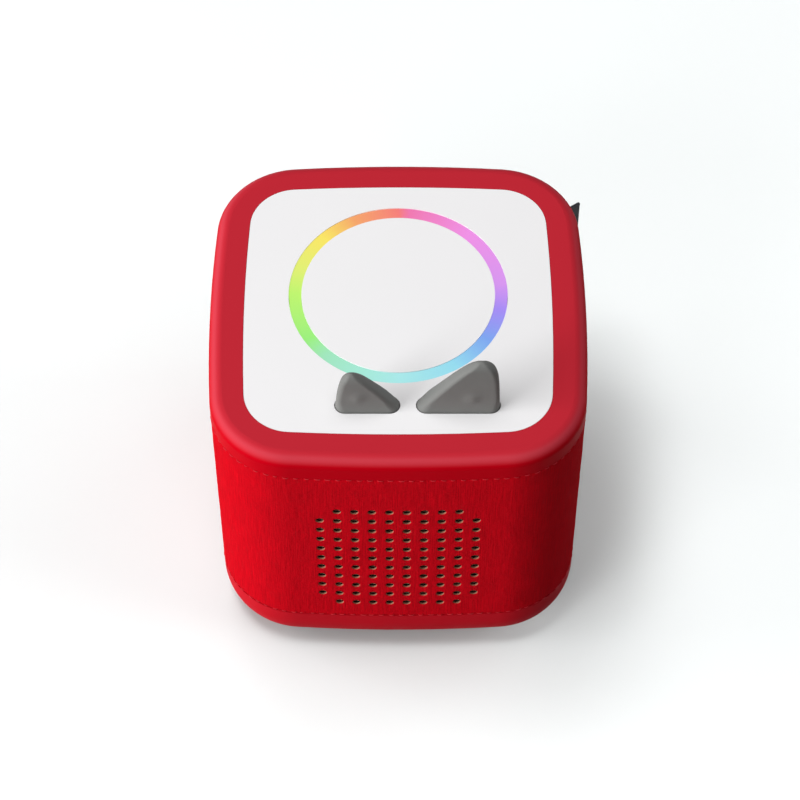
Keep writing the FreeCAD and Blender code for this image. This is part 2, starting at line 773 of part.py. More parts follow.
def make_lower_housing():
    """The tub: walls and floor, corner bosses, board posts and a flat seat for the speaker."""
    outer = layer_block("housing_outer", housing_outer, housing_base, housing_top)
    edge = base_edge_radius - (half - housing_outer) + fit_gap * 12
    add_fillet(outer, "housing_outer_edge", edge, at_level(housing_base))
    inner = layer_block("housing_inner", housing_inner, housing_floor, housing_top + overcut)
    add_fillet(inner, "housing_inner_edge", edge - housing_wall, at_level(housing_floor))
    shell = cut("housing_shell", outer, inner)
    boss = rod("housing_boss", boss_radius, housing_top - housing_floor)
    bosses = copies("housing_bosses", boss, four_corners(boss_place, boss_place, housing_floor))
    post = rod("housing_post", post_radius, main_board_height - fit_gap - housing_floor)
    posts = copies("housing_posts", post, main_board_places(housing_floor)[2:])
    door_boss = tube("door_boss", post_radius, small_screw_radius + turning_gap,
                     housing_floor - overcut, housing_floor + small_screw_length)
    door_bosses = copies("door_bosses", door_boss, [(0, door_screw_place, 0), (0, -door_screw_place, 0)])
    seat = rod("speaker_seat", speaker_radius + overcut, speaker_seat + housing_wall, y=-housing_outer,
               z=speaker_height, axis=V(0, 1, 0))
    solid = fuse("housing_solid", shell, bosses, posts, door_bosses, seat)
    solid = common("housing_trimmed", solid, outer)
    bore = rod("housing_boss_bore", screw_radius + turning_gap, screw_length + overcut)
    bores = copies("housing_boss_bores", bore,
                   four_corners(boss_place, boss_place, housing_top - screw_length))
    post_bore = rod("housing_post_bore", small_screw_radius + turning_gap, small_screw_length + overcut)
    bore_level = main_board_height - small_screw_length
    post_bores = copies("housing_post_bores", post_bore, main_board_places(bore_level)[2:])
    door_bore = rod("door_bore", small_screw_radius + turning_gap, housing_wall + overcut * 4)
    door_level = housing_base - overcut
    door_bores = copies("door_bores", door_bore, [(0, door_screw_place, door_level),
                                                  (0, -door_screw_place, door_level)])
    sound_hole = rod("sound_hole", speaker_bore, half, y=-half, z=speaker_height, axis=V(0, 1, 0))
    speaker_drill = rod("speaker_drill", small_screw_radius + turning_gap,
                        housing_wall + speaker_seat + overcut, axis=V(0, 1, 0))
    drills = copies("speaker_drills", speaker_drill, speaker_screw_places(-housing_outer))
    battery = box("battery_way", (-tray_half_length, -tray_half_width, base),
                  (tray_half_length, tray_half_width, housing_floor + overcut))
    window = port_window("housing_port_window", fit_gap, main_board_back)
    piece("lower_housing", cut("lower_housing", solid, bores, post_bores, door_bores, sound_hole, drills,
                               battery, window))


def speaker_screw_places(level):
    """Four places on a circle about the speaker's axis, on the diagonals."""
    offset = speaker_screw_place * math.sqrt(0.5)
    places = []
    for x, z in ((1, 1), (-1, 1), (-1, -1), (1, -1)):
        places.append((offset * x, level, speaker_height + offset * z))
    return places


def make_deck():
    """The plate that closes the tub, with posts for the control board."""
    plate = layer_block("deck_plate", housing_outer, deck_base, deck_top)
    post = rod("deck_post", post_radius, board_standoff - turning_gap)
    posts = copies("deck_posts", post, four_corners(control_screw_place, control_screw_place, deck_top))
    screw_hole = rod("deck_screw_hole", screw_radius + fit_gap * 2, deck_thickness + overcut * 2)
    screw_holes = copies("deck_screw_holes", screw_hole,
                         four_corners(boss_place, boss_place, deck_base - overcut))
    drill = rod("deck_drill", small_screw_radius + turning_gap, deck_thickness + board_standoff + overcut * 2)
    drills = copies("deck_drills", drill,
                    four_corners(control_screw_place, control_screw_place, deck_base - overcut))
    slot_low = (ribbon_side - ribbon_width / 2 - overcut, ribbon_back - overcut, deck_base - overcut)
    slot_high = (ribbon_side + ribbon_width / 2 + overcut, ribbon_back + ribbon_bow, deck_top + overcut)
    slot = rounded_box("deck_cable_slot", slot_low, slot_high, overcut)
    piece("deck", cut("deck", fuse("deck_solid", plate, posts), screw_holes, drills, slot))


def make_top_frame():
    low = deck_top + fit_gap
    outer = layer_block("top_frame_outer", housing_outer, low, frame_top)
    inner = layer_block("top_frame_inner", housing_inner, low - overcut, frame_top - frame_flange)
    opening = panel_block("top_frame_opening", frame_half, low, frame_top + overcut)
    piece("top_frame", cut("top_frame", outer, inner, opening))


def make_base():
    """The base plate with its feet, and the battery door with its two screws."""
    plate = bowed_block("base_plate_solid", base_half, bow_radius, base_corner,
                        base, base + base_plate_thickness)
    door_low = (-door_half_length, -door_half_width, base)
    door_high = (door_half_length, door_half_width, base + base_plate_thickness)
    gap = fit_gap * 2
    way_low = (-door_half_length - gap, -door_half_width - gap, base - overcut)
    way_high = (door_half_length + gap, door_half_width + gap, base + base_plate_thickness + overcut)
    way = rounded_box("door_way", way_low, way_high, boss_radius + gap)
    foot_seat = rod("foot_seat", foot_radius + fit_gap, foot_recess + overcut)
    seats = copies("foot_seats", foot_seat, four_corners(foot_x, foot_y, base - overcut))
    piece("base_plate", cut("base_plate", plate, way, seats))
    foot = rod("foot_pad", foot_radius, foot_proud + foot_recess - turning_gap)
    piece("foot_pads", copies("foot_pads", foot, four_corners(foot_x, foot_y, as_size(0))))
    head_depth = small_screw_head_height + fit_gap
    door = rounded_box("door_solid", door_low, door_high, boss_radius)
    head_way = rod("door_head_way", small_screw_head_radius + fit_gap, head_depth + overcut)
    shank_way = rod("door_shank_way", small_screw_radius + fit_gap, base_plate_thickness + overcut * 2)
    places = [(0, door_screw_place, base - overcut), (0, -door_screw_place, base - overcut)]
    grip_low = (wall_thickness * 3 - door_half_length, -foot_radius, base - overcut)
    grip_high = (wall_thickness * 5 - door_half_length, foot_radius, base + base_plate_thickness / 2)
    grip = box("door_grip", grip_low, grip_high)
    door = cut("battery_door", door, copies("door_head_ways", head_way, places),
               copies("door_shank_ways", shank_way, places), grip)
    piece("battery_door", door)
    door_screw = screw("door_screw", small_screw_radius, small_screw_head_radius,
                       small_screw_head_height, small_screw_length)
    turn(door_screw, V(1, 0, 0), 180)
    level = base + head_depth - turning_gap
    piece("battery_door_screws", copies("battery_door_screws", door_screw, [(0, door_screw_place, level),
                                                                          (0, -door_screw_place, level)]))


def make_battery():
    """The tray, open below, with two round cells and the contacts at their ends."""
    outer = box("tray_outer", (-tray_half_length - tray_wall, -tray_half_width - tray_wall, tray_base),
                (tray_half_length + tray_wall, tray_half_width + tray_wall, tray_top))
    inner = box("tray_inner", (-tray_half_length, -tray_half_width, tray_base - overcut),
                (tray_half_length, tray_half_width, tray_roof))
    post = rod("tray_post", post_radius, main_board_height - fit_gap - tray_top)
    places = main_board_places(tray_top)[:2]
    posts = copies("tray_posts", post, places)
    bore = rod("tray_post_bore", small_screw_radius + turning_gap, small_screw_length + overcut)
    places = main_board_places(main_board_height - small_screw_length)[:2]
    bores = copies("tray_post_bores", bore, places)
    piece("battery_tray", cut("battery_tray", fuse("tray_solid", outer, posts), inner, bores))
    cell = rod("battery_cell", cell_radius, cell_length, axis=V(1, 0, 0))
    level = tray_roof - cell_radius - fit_gap * 2
    start = -cell_length / 2
    piece("battery_cells", copies("battery_cells", cell, [(start, cell_spread, level),
                                                          (start, -cell_spread, level)]))
    wall = tray_half_length - fit_gap
    leaf = ribbon_thickness
    button = cell_radius / 3
    plate_half = cell_radius / 2
    plate = box("contact_plate", (wall - leaf, -plate_half, -plate_half), (wall, plate_half, plate_half))
    nub = rod("contact_nub", button, wall - leaf - cell_length / 2 - fit_gap,
              x=cell_length / 2 + fit_gap, axis=V(1, 0, 0))
    right = fuse("contact_right", plate, nub)
    left = doc.addObject("Part::Mirroring", "contact_left")
    left.Source = right
    left.Normal = V(1, 0, 0)
    contacts = []
    for name, template in (("right", right), ("left", left)):
        contacts.append(copies(f"contacts_{name}", template, [(0, cell_spread, level),
                                                              (0, -cell_spread, level)]))
    piece("battery_contacts", bundle("battery_contacts", contacts))


# ---------------------------------------------------------------------------------------------
# Top: panel, ring of light, figure's place and control board
# ---------------------------------------------------------------------------------------------


def ear_slot(name, width, middle):
    body = new_body(name)
    sketch = new_sketch(body, name + "_plan", lift=panel_base - overcut)
    draw_stadium(sketch, width / 2 + ear_gap, ear_depth / 2 + ear_gap)
    add_pad(body, sketch, panel_thickness + overcut * 2)
    return place(body, middle, ear_line, 0)


def make_top_panel():
    plate = panel_block("top_panel_plate", panel_half - fit_gap, panel_base, top)
    ring_way = rod("ring_way", ring_outer + ring_gap, panel_thickness + overcut * 2, y=ring_back,
                   z=panel_base - overcut)
    small = ear_slot("small_ear_slot", small_ear_width, small_ear_middle)
    large = ear_slot("large_ear_slot", large_ear_width, large_ear_middle)
    piece("top_panel", cut("top_panel", plate, ring_way, small, large))


def make_ring():
    """The clear ring, the white carrier that holds it over the lamps, and the lamps."""
    web_base = control_top + led_height + ribbon_thickness
    web_top = web_base + wall_thickness
    ring = turned("light_ring", [(ring_inner, web_top + fit_gap), (ring_outer, web_top + fit_gap),
                                 (ring_outer, ring_top), (ring_inner, ring_top)])
    piece("light_ring", place(ring, 0, ring_back, 0))
    outer_way = ring_outer + ring_gap
    inner_way = figure_radius
    outer_wall = outer_way + wall_thickness
    inner_wall = inner_way - wall_thickness
    low = control_top + fit_gap
    section = [(inner_wall, low), (inner_way, low), (inner_way, web_base), (outer_way, web_base),
               (outer_way, low), (outer_wall, low), (outer_wall, frame_top), (outer_way, frame_top),
               (outer_way, web_top), (inner_way, web_top), (inner_way, frame_top), (inner_wall, frame_top)]
    carrier = place(turned("ring_carrier_solid", section), 0, ring_back, 0)
    middle = (ring_outer + ring_inner) / 2
    window = box("lamp_window", (-led_length, -led_length / 2, -wall_thickness),
                 (led_length, led_length / 2, wall_thickness * 2))
    lamp = box("lamp", (-led_length / 2, -led_length / 3, 0), (led_length / 2, led_length / 3, led_height))
    carriers = []
    lamps = []
    for template, group, level in ((window, carriers, web_base), (lamp, lamps, control_top + turning_gap)):
        for number in range(led_count):
            heading = 360 / led_count * number
            holder = turn(bundle(f"{template.Name}_{number}", [template]), V(0, 0, 1), heading)
            across = math.radians(heading)
            place(holder, -middle * math.sin(across), ring_back + middle * math.cos(across), level)
            group.append(holder)
    piece("ring_carrier", cut("ring_carrier", carrier, *carriers))
    piece("lamps", bundle("lamps", lamps))


def make_figure_place():
    """The round plate that the figure stands on, with the magnet and antenna under it."""
    plate = turned("figure_plate", [(0, panel_base), (skirt_inner, panel_base),
                                    (skirt_inner, control_top + fit_gap),
                                    (skirt_outer, control_top + fit_gap), (skirt_outer, panel_base),
                                    (figure_radius, panel_base), (figure_radius, top), (0, top)])
    piece("figure_plate", place(plate, 0, ring_back, 0))
    magnet_base = panel_base - fit_gap - magnet_height
    magnet = rod("platform_magnet", magnet_radius, magnet_height, y=ring_back, z=magnet_base)
    piece("platform_magnet", magnet)
    board_base = top - antenna_depth
    board_top = board_base + board_thickness / 2
    board = tube("antenna_board", skirt_inner - ring_gap, magnet_radius + ring_gap, board_base, board_top,
                 y=ring_back)
    piece("antenna_board", board)
    tracks = []
    for number in range(4):
        outer_edge = skirt_inner - coil_margin - coil_pitch * number
        track = tube(f"antenna_track_{number}", outer_edge, outer_edge - coil_pitch / 2,
                     board_top + turning_gap, board_top + turning_gap + coil_height, y=ring_back)
        tracks.append(track)
    piece("antenna_coil", bundle("antenna_coil", tracks))


def make_control_board():
    plate = panel_block("control_board_plate", control_half, control_base, control_top)
    bore = rod("control_board_way", skirt_inner - control_board_ledge, board_thickness + overcut * 2,
               y=ring_back, z=control_base - overcut)
    drill = rod("control_board_drill", small_screw_radius + fit_gap, board_thickness + overcut * 2)
    drills = copies("control_board_drills", drill,
                    four_corners(control_screw_place, control_screw_place, control_base - overcut))
    piece("control_board", cut("control_board", plate, bore, drills))
    small_screw = screw("small_screw", small_screw_radius, small_screw_head_radius,
                        small_screw_head_height, small_screw_length)
    level = control_top + turning_gap
    places = four_corners(control_screw_place, control_screw_place, level) + main_board_places(
        main_board_top + turning_gap)
    piece("board_screws", copies("board_screws", small_screw, places))
    housing_screw = screw("housing_screw", screw_radius, screw_head_radius, screw_head_height, screw_length)
    places = four_corners(boss_place, boss_place, deck_top + turning_gap)
    piece("housing_screws", copies("housing_screws", housing_screw, places))


# ---------------------------------------------------------------------------------------------
# Ear buttons
# ---------------------------------------------------------------------------------------------


def stadium_block(name, half_length, radius, low, high):
    body = new_body(name)
    sketch = new_sketch(body, name + "_plan", lift=low)
    draw_stadium(sketch, half_length, radius)
    add_pad(body, sketch, high - low)
    return body


def make_ear_cap(name, middle, width, apex, lean, peak_radius, pip_radius, pip_place, side):
    """The soft fin: a steep side at X = side, a long slope, faces that lean in, and a raised pip.

    It is drawn about the middle of its slot, at the level of the panel's top.
    """
    ear_half = width / 2
    foot = -panel_thickness
    cap = new_body(name)
    front = new_sketch(cap, name + "_front", "XZ_Plane")
    slope_foot = -ear_half + ear_depth / 4
    outline = [(-ear_half, foot), (ear_half, foot), (ear_half, ear_lip), (ear_half - lean, apex),
               (slope_foot, ear_lip * 1.5), (-ear_half, ear_lip)]
    draw_polygon(front, [(x * side, z) for x, z in outline])
    add_pad(cap, front, ear_depth * 2, symmetric=True)
    add_fillet(cap, name + "_peak", peak_radius, at_level(apex))
    column = stadium_block(name + "_column", ear_half, ear_depth / 2, foot - overcut, apex + overcut)
    wedge = new_body(name + "_wedge")
    profile = new_sketch(wedge, name + "_wedge_profile", "YZ_Plane")
    deep = ear_depth / 2 + turning_gap
    tip = ear_tip_depth / 2
    shoulder = apex * 0.9
    draw_polygon(profile, [(-deep, foot - overcut), (deep, foot - overcut), (deep, ear_lip), (tip, shoulder),
                           (-tip, shoulder), (-deep, ear_lip)])
    add_pad(wedge, profile, width * 2, symmetric=True)
    fin = common(name + "_fin", common(name + "_faces", cap, column), wedge)
    lean_in = (deep - tip) * (pip_height / shoulder)
    pip = rod(name + "_pip", pip_radius, deep - lean_in + pip_proud, x=pip_place, z=pip_height,
              axis=V(0, -1, 0))
    blade = ear_blade_box(name + "_pocket", turning_gap)
    solid = cut(name, fuse(name + "_solid", fin, pip), blade)
    piece(name, place(solid, middle, ear_line, top))


def ear_blade_box(name, gap):
    """The blade that carries an ear, or with a gap the pocket for it, about the ear's middle."""
    low = (-ear_blade_width / 2 - gap, -ear_blade_thickness / 2 - gap, ear_shelf_top - top - overcut / 2)
    high = (ear_blade_width / 2 + gap, ear_blade_thickness / 2 + gap, ear_blade + gap)
    return box(name, low, high)


def make_ear_works(name, middle, width, spring_place):
    """What an ear stands on: a hard shelf under the panel, two springs and a switch plunger."""
    shelf = stadium_block(name + "_shelf", width / 2 + ear_shelf, ear_depth / 2 + ear_shelf,
                          ear_shelf_base - top, ear_shelf_top - top)
    blade = ear_blade_box(name + "_blade", as_size(0))
    stem_top = ear_shelf_base - top + overcut / 2
    stem_base = plunger_top + turning_gap - top
    stem = rod(name + "_stem", plunger_radius - fit_gap * 2, stem_top - stem_base, z=stem_base)
    pins = []
    for number, x in enumerate((spring_place, -spring_place)):
        pins.append(rod(f"{name}_pin_{number}", spring_pin_radius, spring_pin_length + overcut / 2, x=x,
                        z=stem_top - spring_pin_length - overcut / 2))
    carrier = fuse(name + "_carrier", shelf, blade, stem, *pins)
    piece(name + "_carrier", place(carrier, middle, ear_line, top))
    plunger_base = control_top + switch_height - plunger_root
    plunger = rod(name + "_plunger", plunger_radius, plunger_top - plunger_base, middle, ear_line,
                  plunger_base)
    piece(name + "_plunger", plunger)
    spring = new_body(name + "_spring")
    section = new_sketch(spring, name + "_spring_wire", "XZ_Plane")
    draw_circle(section, spring_radius, spring_wire / 2, spring_wire / 2)
    coil = spring.newObject("PartDesign::AdditiveHelix", name + "_spring_coil")
    coil.Profile = section
    coil.ReferenceAxis = (section, ["V_Axis"])
    coil.Mode = 0
    rise = ear_shelf_base - control_top - spring_wire - turning_gap * 2
    bind(coil, "Pitch", rise / spring_turns)
    bind(coil, "Height", rise)
    doc.recompute()
    level = control_top + turning_gap
    places = [(middle + spring_place, ear_line, level), (middle - spring_place, ear_line, level)]
    piece(name + "_springs", copies(name + "_springs", spring, places))


def make_ear_switches():
    """Two square push switches on the control board, each with a round well for its plunger."""
    switch_half = switch_width / 2
    body = box("ear_switch_body", (-switch_half, -switch_half, 0), (switch_half, switch_half, switch_height))
    well_depth = plunger_root + ear_travel + fit_gap
    well = rod("ear_switch_well", plunger_radius + fit_gap, well_depth + overcut,
               z=switch_height - well_depth)
    level = control_top + turning_gap
    places = [(small_ear_middle, ear_line, level), (large_ear_middle, ear_line, level)]
    piece("ear_switches", copies("ear_switches", cut("ear_switch", body, well), places))


# ---------------------------------------------------------------------------------------------
# Speaker: drawn about its own axis with the seat at zero and the front at +Z
# ---------------------------------------------------------------------------------------------


def speaker_piece(label, solid):
    turn(solid, V(1, 0, 0), 90)
    piece(label, place(solid, 0, speaker_seat - housing_inner, speaker_height))


def make_speaker():
    flange_front = -turning_gap * 2 - gasket_thickness
    flange_back = flange_front - basket_sheet
    back = flange_back - basket_depth
    gasket_outer = speaker_bore + gasket_width
    gasket = turned("speaker_gasket", [(speaker_bore, -turning_gap), (gasket_outer, -turning_gap),
                                       (gasket_outer, -turning_gap - gasket_thickness),
                                       (speaker_bore, -turning_gap - gasket_thickness)])
    speaker_piece("speaker_gasket", gasket)

    mouth = speaker_bore - basket_lip
    waist = speaker_magnet_radius
    hub = coil_radius + coil_clearance
    basket = turned("speaker_basket_solid",
                    [(mouth, flange_front), (speaker_radius, flange_front), (speaker_radius, flange_back),
                     (mouth + basket_sheet, flange_back), (waist, back), (hub, back),
                     (hub, back + basket_sheet), (waist - basket_sheet, back + basket_sheet)])
    vent = rod("basket_vent", basket_vent_radius, basket_depth - basket_sheet * 2, z=back + basket_sheet * 3)
    vent_ring = (mouth + waist) / 2
    vents = []
    for number in range(basket_vents):
        heading = math.radians(360 / basket_vents * number)
        vents.append((vent_ring * math.cos(heading), vent_ring * math.sin(heading), back + basket_sheet * 3))
    drill = rod("basket_drill", small_screw_radius + fit_gap, basket_sheet + overcut * 2)
    offset = speaker_screw_place * math.sqrt(0.5)
    drills = copies("basket_drills", drill, four_corners(offset, offset, flange_back - overcut))
    basket = cut("speaker_basket", basket, copies("basket_vents", vent, vents), drills)
    speaker_piece("speaker_basket", basket)

    skin = membrane_thickness
    land = flange_front + turning_gap
    roll_outer = speaker_bore - fit_gap
    roll_inner = cone_radius + fit_gap
    roll_middle = (roll_outer + roll_inner) / 2
    quarter = (roll_outer - roll_inner) / 4
    crest = land + skin + roll_height
    surround = turned("speaker_surround",
                      [(roll_outer, land), (roll_outer, land + skin), (roll_middle + quarter, land + skin),
                       (roll_middle + quarter / 2, crest), (roll_middle - quarter / 2, crest),
                       (roll_middle - quarter, land + skin), (roll_inner, land + skin), (roll_inner, land),
                       (roll_middle - quarter, land), (roll_middle - quarter / 2, crest - skin),
                       (roll_middle + quarter / 2, crest - skin), (roll_middle + quarter, land)])
    speaker_piece("speaker_surround", surround)

    throat = back + basket_sheet + cone_throat
    cone = turned("speaker_cone", [(cone_radius, land), (cone_radius, land + skin),
                                   (coil_radius + fit_gap, throat + skin), (coil_radius + fit_gap, throat)])
    speaker_piece("speaker_cone", cone)
    coil_top = throat + skin + dust_cap_rise
    coil_inner = coil_radius - coil_thickness
    dust_cap = turned("dust_cap", [(0, coil_top + dust_cap_rise), (coil_inner, coil_top + turning_gap),
                                   (coil_radius, coil_top + turning_gap),
                                   (coil_inner, coil_top + turning_gap + skin),
                                   (0, coil_top + dust_cap_rise + skin)])
    speaker_piece("dust_cap", dust_cap)
    plate_top = back - turning_gap
    plate_base = plate_top - speaker_plate
    magnet_top = plate_base - turning_gap
    magnet_base = magnet_top - speaker_magnet_height
    yoke_top = magnet_base - turning_gap
    yoke_base = yoke_top - speaker_plate
    coil = turned("voice_coil", [(coil_inner, magnet_top), (coil_radius, magnet_top), (coil_radius, coil_top),
                                 (coil_inner, coil_top)])
    speaker_piece("voice_coil", coil)
    plate = turned("speaker_top_plate", [(hub, plate_base), (waist, plate_base), (waist, plate_top),
                                         (hub, plate_top)])
    speaker_piece("speaker_top_plate", plate)
    magnet_bore = hub + overcut
    magnet = turned("speaker_magnet", [(magnet_bore, magnet_base), (waist, magnet_base),
                                       (waist, magnet_top), (magnet_bore, magnet_top)])
    speaker_piece("speaker_magnet", magnet)
    pole = coil_inner - coil_clearance
    yoke = turned("speaker_yoke", [(0, yoke_base), (waist, yoke_base), (waist, yoke_top), (pole, yoke_top),
                                   (pole, plate_top), (0, plate_top)])
    speaker_piece("speaker_yoke", yoke)

    mount_screw = screw("speaker_screw", small_screw_radius, small_screw_head_radius,
                        small_screw_head_height, small_screw_length)
    turn(mount_screw, V(1, 0, 0), -90)
    head_level = speaker_seat - housing_inner - flange_back + turning_gap
    piece("speaker_screws", copies("speaker_screws", mount_screw, speaker_screw_places(head_level)))
    terminal_level = speaker_height - speaker_radius
    terminal = box("speaker_terminal", (-terminal_width / 2, head_level, terminal_level),
                   (terminal_width / 2, head_level + terminal_thickness, terminal_level + terminal_height))
    piece("speaker_terminal", terminal)
    return head_level + terminal_thickness, terminal_level + terminal_height / 2


# ---------------------------------------------------------------------------------------------
# Main board, wires and sockets
# ---------------------------------------------------------------------------------------------


def lead(name, points):
    """A round wire through a chain of points, bent sharply at each."""
    points = [tuple(as_size(amount) for amount in point) for point in points]
    parts = []
    for number, (start, end) in enumerate(zip(points, points[1:])):
        step = V(*[(b - a).value for a, b in zip(start, end)])
        parts.append(rod(f"{name}_run_{number}", lead_radius, step.Length, *start, axis=step))
    for number, bend in enumerate(points[1:-1]):
        ball = doc.addObject("Part::Sphere", f"{name}_bend_{number}")
        bind(ball, "Radius", lead_radius)
        parts.append(place(ball, *bend))
    return fuse(name, *parts)


def lead_pair(label, points):
    pair = []
    for number, side in enumerate((-lead_spread / 2, lead_spread / 2)):
        pair.append(lead(f"{label}_{number}", [(side + x, y, z) for x, y, z in points]))
    piece(label, bundle(label, pair))


def make_main_board(speaker_end):
    plate = box("main_board_plate", (-main_board_half, main_board_front, main_board_height),
                (main_board_half, main_board_back, main_board_top))
    drill = rod("main_board_drill", small_screw_radius + fit_gap, board_thickness + overcut * 2)
    drills = copies("main_board_drills", drill, main_board_places(main_board_height - overcut))
    piece("main_board", cut("main_board", plate, drills))

    level = main_board_top + turning_gap
    chip = box("chip", (-chip_width / 2, -chip_width / 2, 0), (chip_width / 2, chip_width / 2, chip_height))
    middle_y = (main_board_front + main_board_back) / 2
    control_chip = control_screw_place - chip_width * 0.75
    places = [(-chip_width, middle_y, level), (chip_width, middle_y, level),
              (control_chip, control_screw_place, control_top + turning_gap)]
    piece("chips", copies("chips", chip, places))
    can = rod("capacitor", capacitor_radius, capacitor_height)
    places = [(-main_post_x + chip_width / 2, middle_y, level), (-main_post_x + chip_width, middle_y, level)]
    piece("capacitors", copies("capacitors", can, places))

    block_front = main_board_front + fit_gap * 5
    blocks = []
    for number, x in enumerate((speaker_plug_side, battery_plug_side)):
        low = (x - plug_width / 2, block_front, level)
        high = (x + plug_width / 2, block_front + plug_depth, level + plug_height)
        blocks.append(box(f"plug_{number}", low, high))
    ribbon_half = ribbon_width / 2 + overcut
    ribbon_low = level + ribbon_socket_height
    ribbon_high = control_base - turning_gap - ribbon_socket_height / 2
    for number, (low, high) in enumerate(((level, ribbon_low - turning_gap),
                                          (ribbon_high + turning_gap, control_base - turning_gap))):
        blocks.append(box(f"ribbon_socket_{number}",
                          (ribbon_side - ribbon_half, ribbon_back - ribbon_socket_depth / 2, low),
                          (ribbon_side + ribbon_half, ribbon_back + ribbon_socket_depth / 2, high)))
    piece("board_connectors", bundle("board_connectors", blocks))

    ribbon = new_body("ribbon_cable")
    side_view = new_sketch(ribbon, "ribbon_side_view", "YZ_Plane", lift=ribbon_side)
    middle = (ribbon_low + ribbon_high) / 2
    near = ribbon_back
    far = ribbon_back + ribbon_thickness
    draw_polygon(side_view, [(near, ribbon_low), (far, ribbon_low), (far + ribbon_bow, middle),
                             (far, ribbon_high), (near, ribbon_high), (near + ribbon_bow, middle)])
    add_pad(ribbon, side_view, ribbon_width, symmetric=True)
    piece("ribbon_cable", ribbon)

    speaker_y, speaker_z = speaker_end
    plug_z = level + plug_height / 2
    plug_y = block_front - turning_gap
    lead_pair("speaker_leads", [(0, speaker_y + turning_gap, speaker_z),
                                (0, speaker_y + wire_run, speaker_z),
                                (speaker_plug_side, plug_y - wire_run, plug_z),
                                (speaker_plug_side, plug_y, plug_z)])
    lead_pair("battery_leads", [(battery_plug_side, -wire_run / 2, tray_top + turning_gap),
                                (battery_plug_side, -wire_run / 2, tray_top + wire_run / 2),
                                (battery_plug_side, plug_y - wire_run / 4, plug_z),
                                (battery_plug_side, plug_y, plug_z)])


def make_ports():
    """The socket plate at the back with its USB inlet, headphone socket and power button."""
    outer = layer_block("port_plate_outer", half - port_recess, port_middle - port_height,
                        port_middle + port_height)
    bounds = port_window("port_plate_bounds", as_size(0), housing_inner + fit_gap)
    inner = layer_block("port_plate_inner", half - port_recess - port_thickness,
                        port_middle - port_height * 1.5, port_middle + port_height * 1.5)
    hollow = port_window("port_plate_hollow", -wall_thickness, main_board_back)
    usb_middle = main_board_top + turning_gap + usb_height / 2
    usb_gap = fit_gap * 2
    usb_way = usb_shape("usb_way", usb_gap, usb_middle, main_board_back, half + overcut)
    jack_way = rod("jack_way", jack_nose + fit_gap, half, x=-port_spacing, y=main_board_back, z=port_middle,
                   axis=V(0, 1, 0))
    button_way = rod("button_way", power_radius + fit_gap * 2, half, y=main_board_back, z=port_middle,
                     axis=V(0, 1, 0))
    piece("port_plate", cut("port_plate", common("port_plate_solid", outer, bounds),
                            common("port_plate_recess", hollow, inner), usb_way, jack_way, button_way))

    mouth = half - port_recess - usb_recess
    back = mouth - usb_length
    shell = usb_shape("usb_shell", as_size(0), usb_middle, back, mouth)
    inside = usb_shape("usb_inside", -usb_shell, usb_middle, back + usb_shell * 2, mouth + overcut)
    tongue_half = usb_width / 3
    tongue_low = (port_spacing - tongue_half, back + usb_shell, usb_middle - usb_shell)
    tongue_high = (port_spacing + tongue_half, mouth - usb_length / 4, usb_middle + usb_shell)
    tongue = box("usb_tongue", tongue_low, tongue_high)
    piece("usb_socket", fuse("usb_socket", cut("usb_can", shell, inside), tongue))

    jack_front = half - port_recess
    nose = rod("jack_nose", jack_nose, jack_nose_length, x=-port_spacing, y=jack_front - jack_nose_length,
               z=port_middle, axis=V(0, 1, 0))
    block_front = jack_front - jack_nose_length + turning_gap
    block_low = (-port_spacing - jack_nose, block_front - jack_depth, main_board_top + turning_gap)
    block_high = (-port_spacing + jack_nose, block_front, port_middle + jack_nose)
    block = box("jack_block", block_low, block_high)
    bore = rod("jack_bore", jack_bore, jack_depth + overcut, x=-port_spacing, y=jack_front - jack_depth,
               z=port_middle, axis=V(0, 1, 0))
    piece("headphone_socket", cut("headphone_socket", fuse("jack_solid", nose, block), bore))

    button_front = half - port_recess + power_proud
    flange_front = half - port_recess - port_thickness - power_clearance
    flange_back = flange_front - wall_thickness
    switch_front = main_board_back - power_clearance
    tip = switch_front - plunger_root
    cap = rod("power_cap", power_radius, button_front - flange_back, y=flange_back, z=port_middle,
              axis=V(0, 1, 0))
    flange = rod("power_flange", power_radius + overcut, wall_thickness, y=flange_back, z=port_middle,
                 axis=V(0, 1, 0))
    stem = rod("power_stem", small_screw_radius, flange_back - tip + turning_gap, y=tip, z=port_middle,
               axis=V(0, 1, 0))
    piece("power_button", fuse("power_button", cap, flange, stem))
    switch_half = switch_width / 2
    body_low = (-switch_half, switch_front - switch_width * 0.75, main_board_top + turning_gap)
    body = box("power_switch_body", body_low, (switch_half, switch_front, port_middle + switch_half))
    well_depth = plunger_root + power_travel + fit_gap
    well = rod("power_switch_well", small_screw_radius + fit_gap, well_depth + overcut,
               y=switch_front - well_depth, z=port_middle, axis=V(0, 1, 0))
    piece("power_switch", cut("power_switch", body, well))


def usb_shape(name, gap, middle, front, back):
    """A block of the USB inlet's rounded section between two planes across Y."""
    low = (port_spacing - usb_width / 2 - gap, front, middle - usb_height / 2 - gap)
    high = (port_spacing + usb_width / 2 + gap, back, middle + usb_height / 2 + gap)
    return rounded_box(name, low, high, usb_height * 0.45 + gap, facing="XZ_Plane")


# ---------------------------------------------------------------------------------------------
# Build
# ---------------------------------------------------------------------------------------------

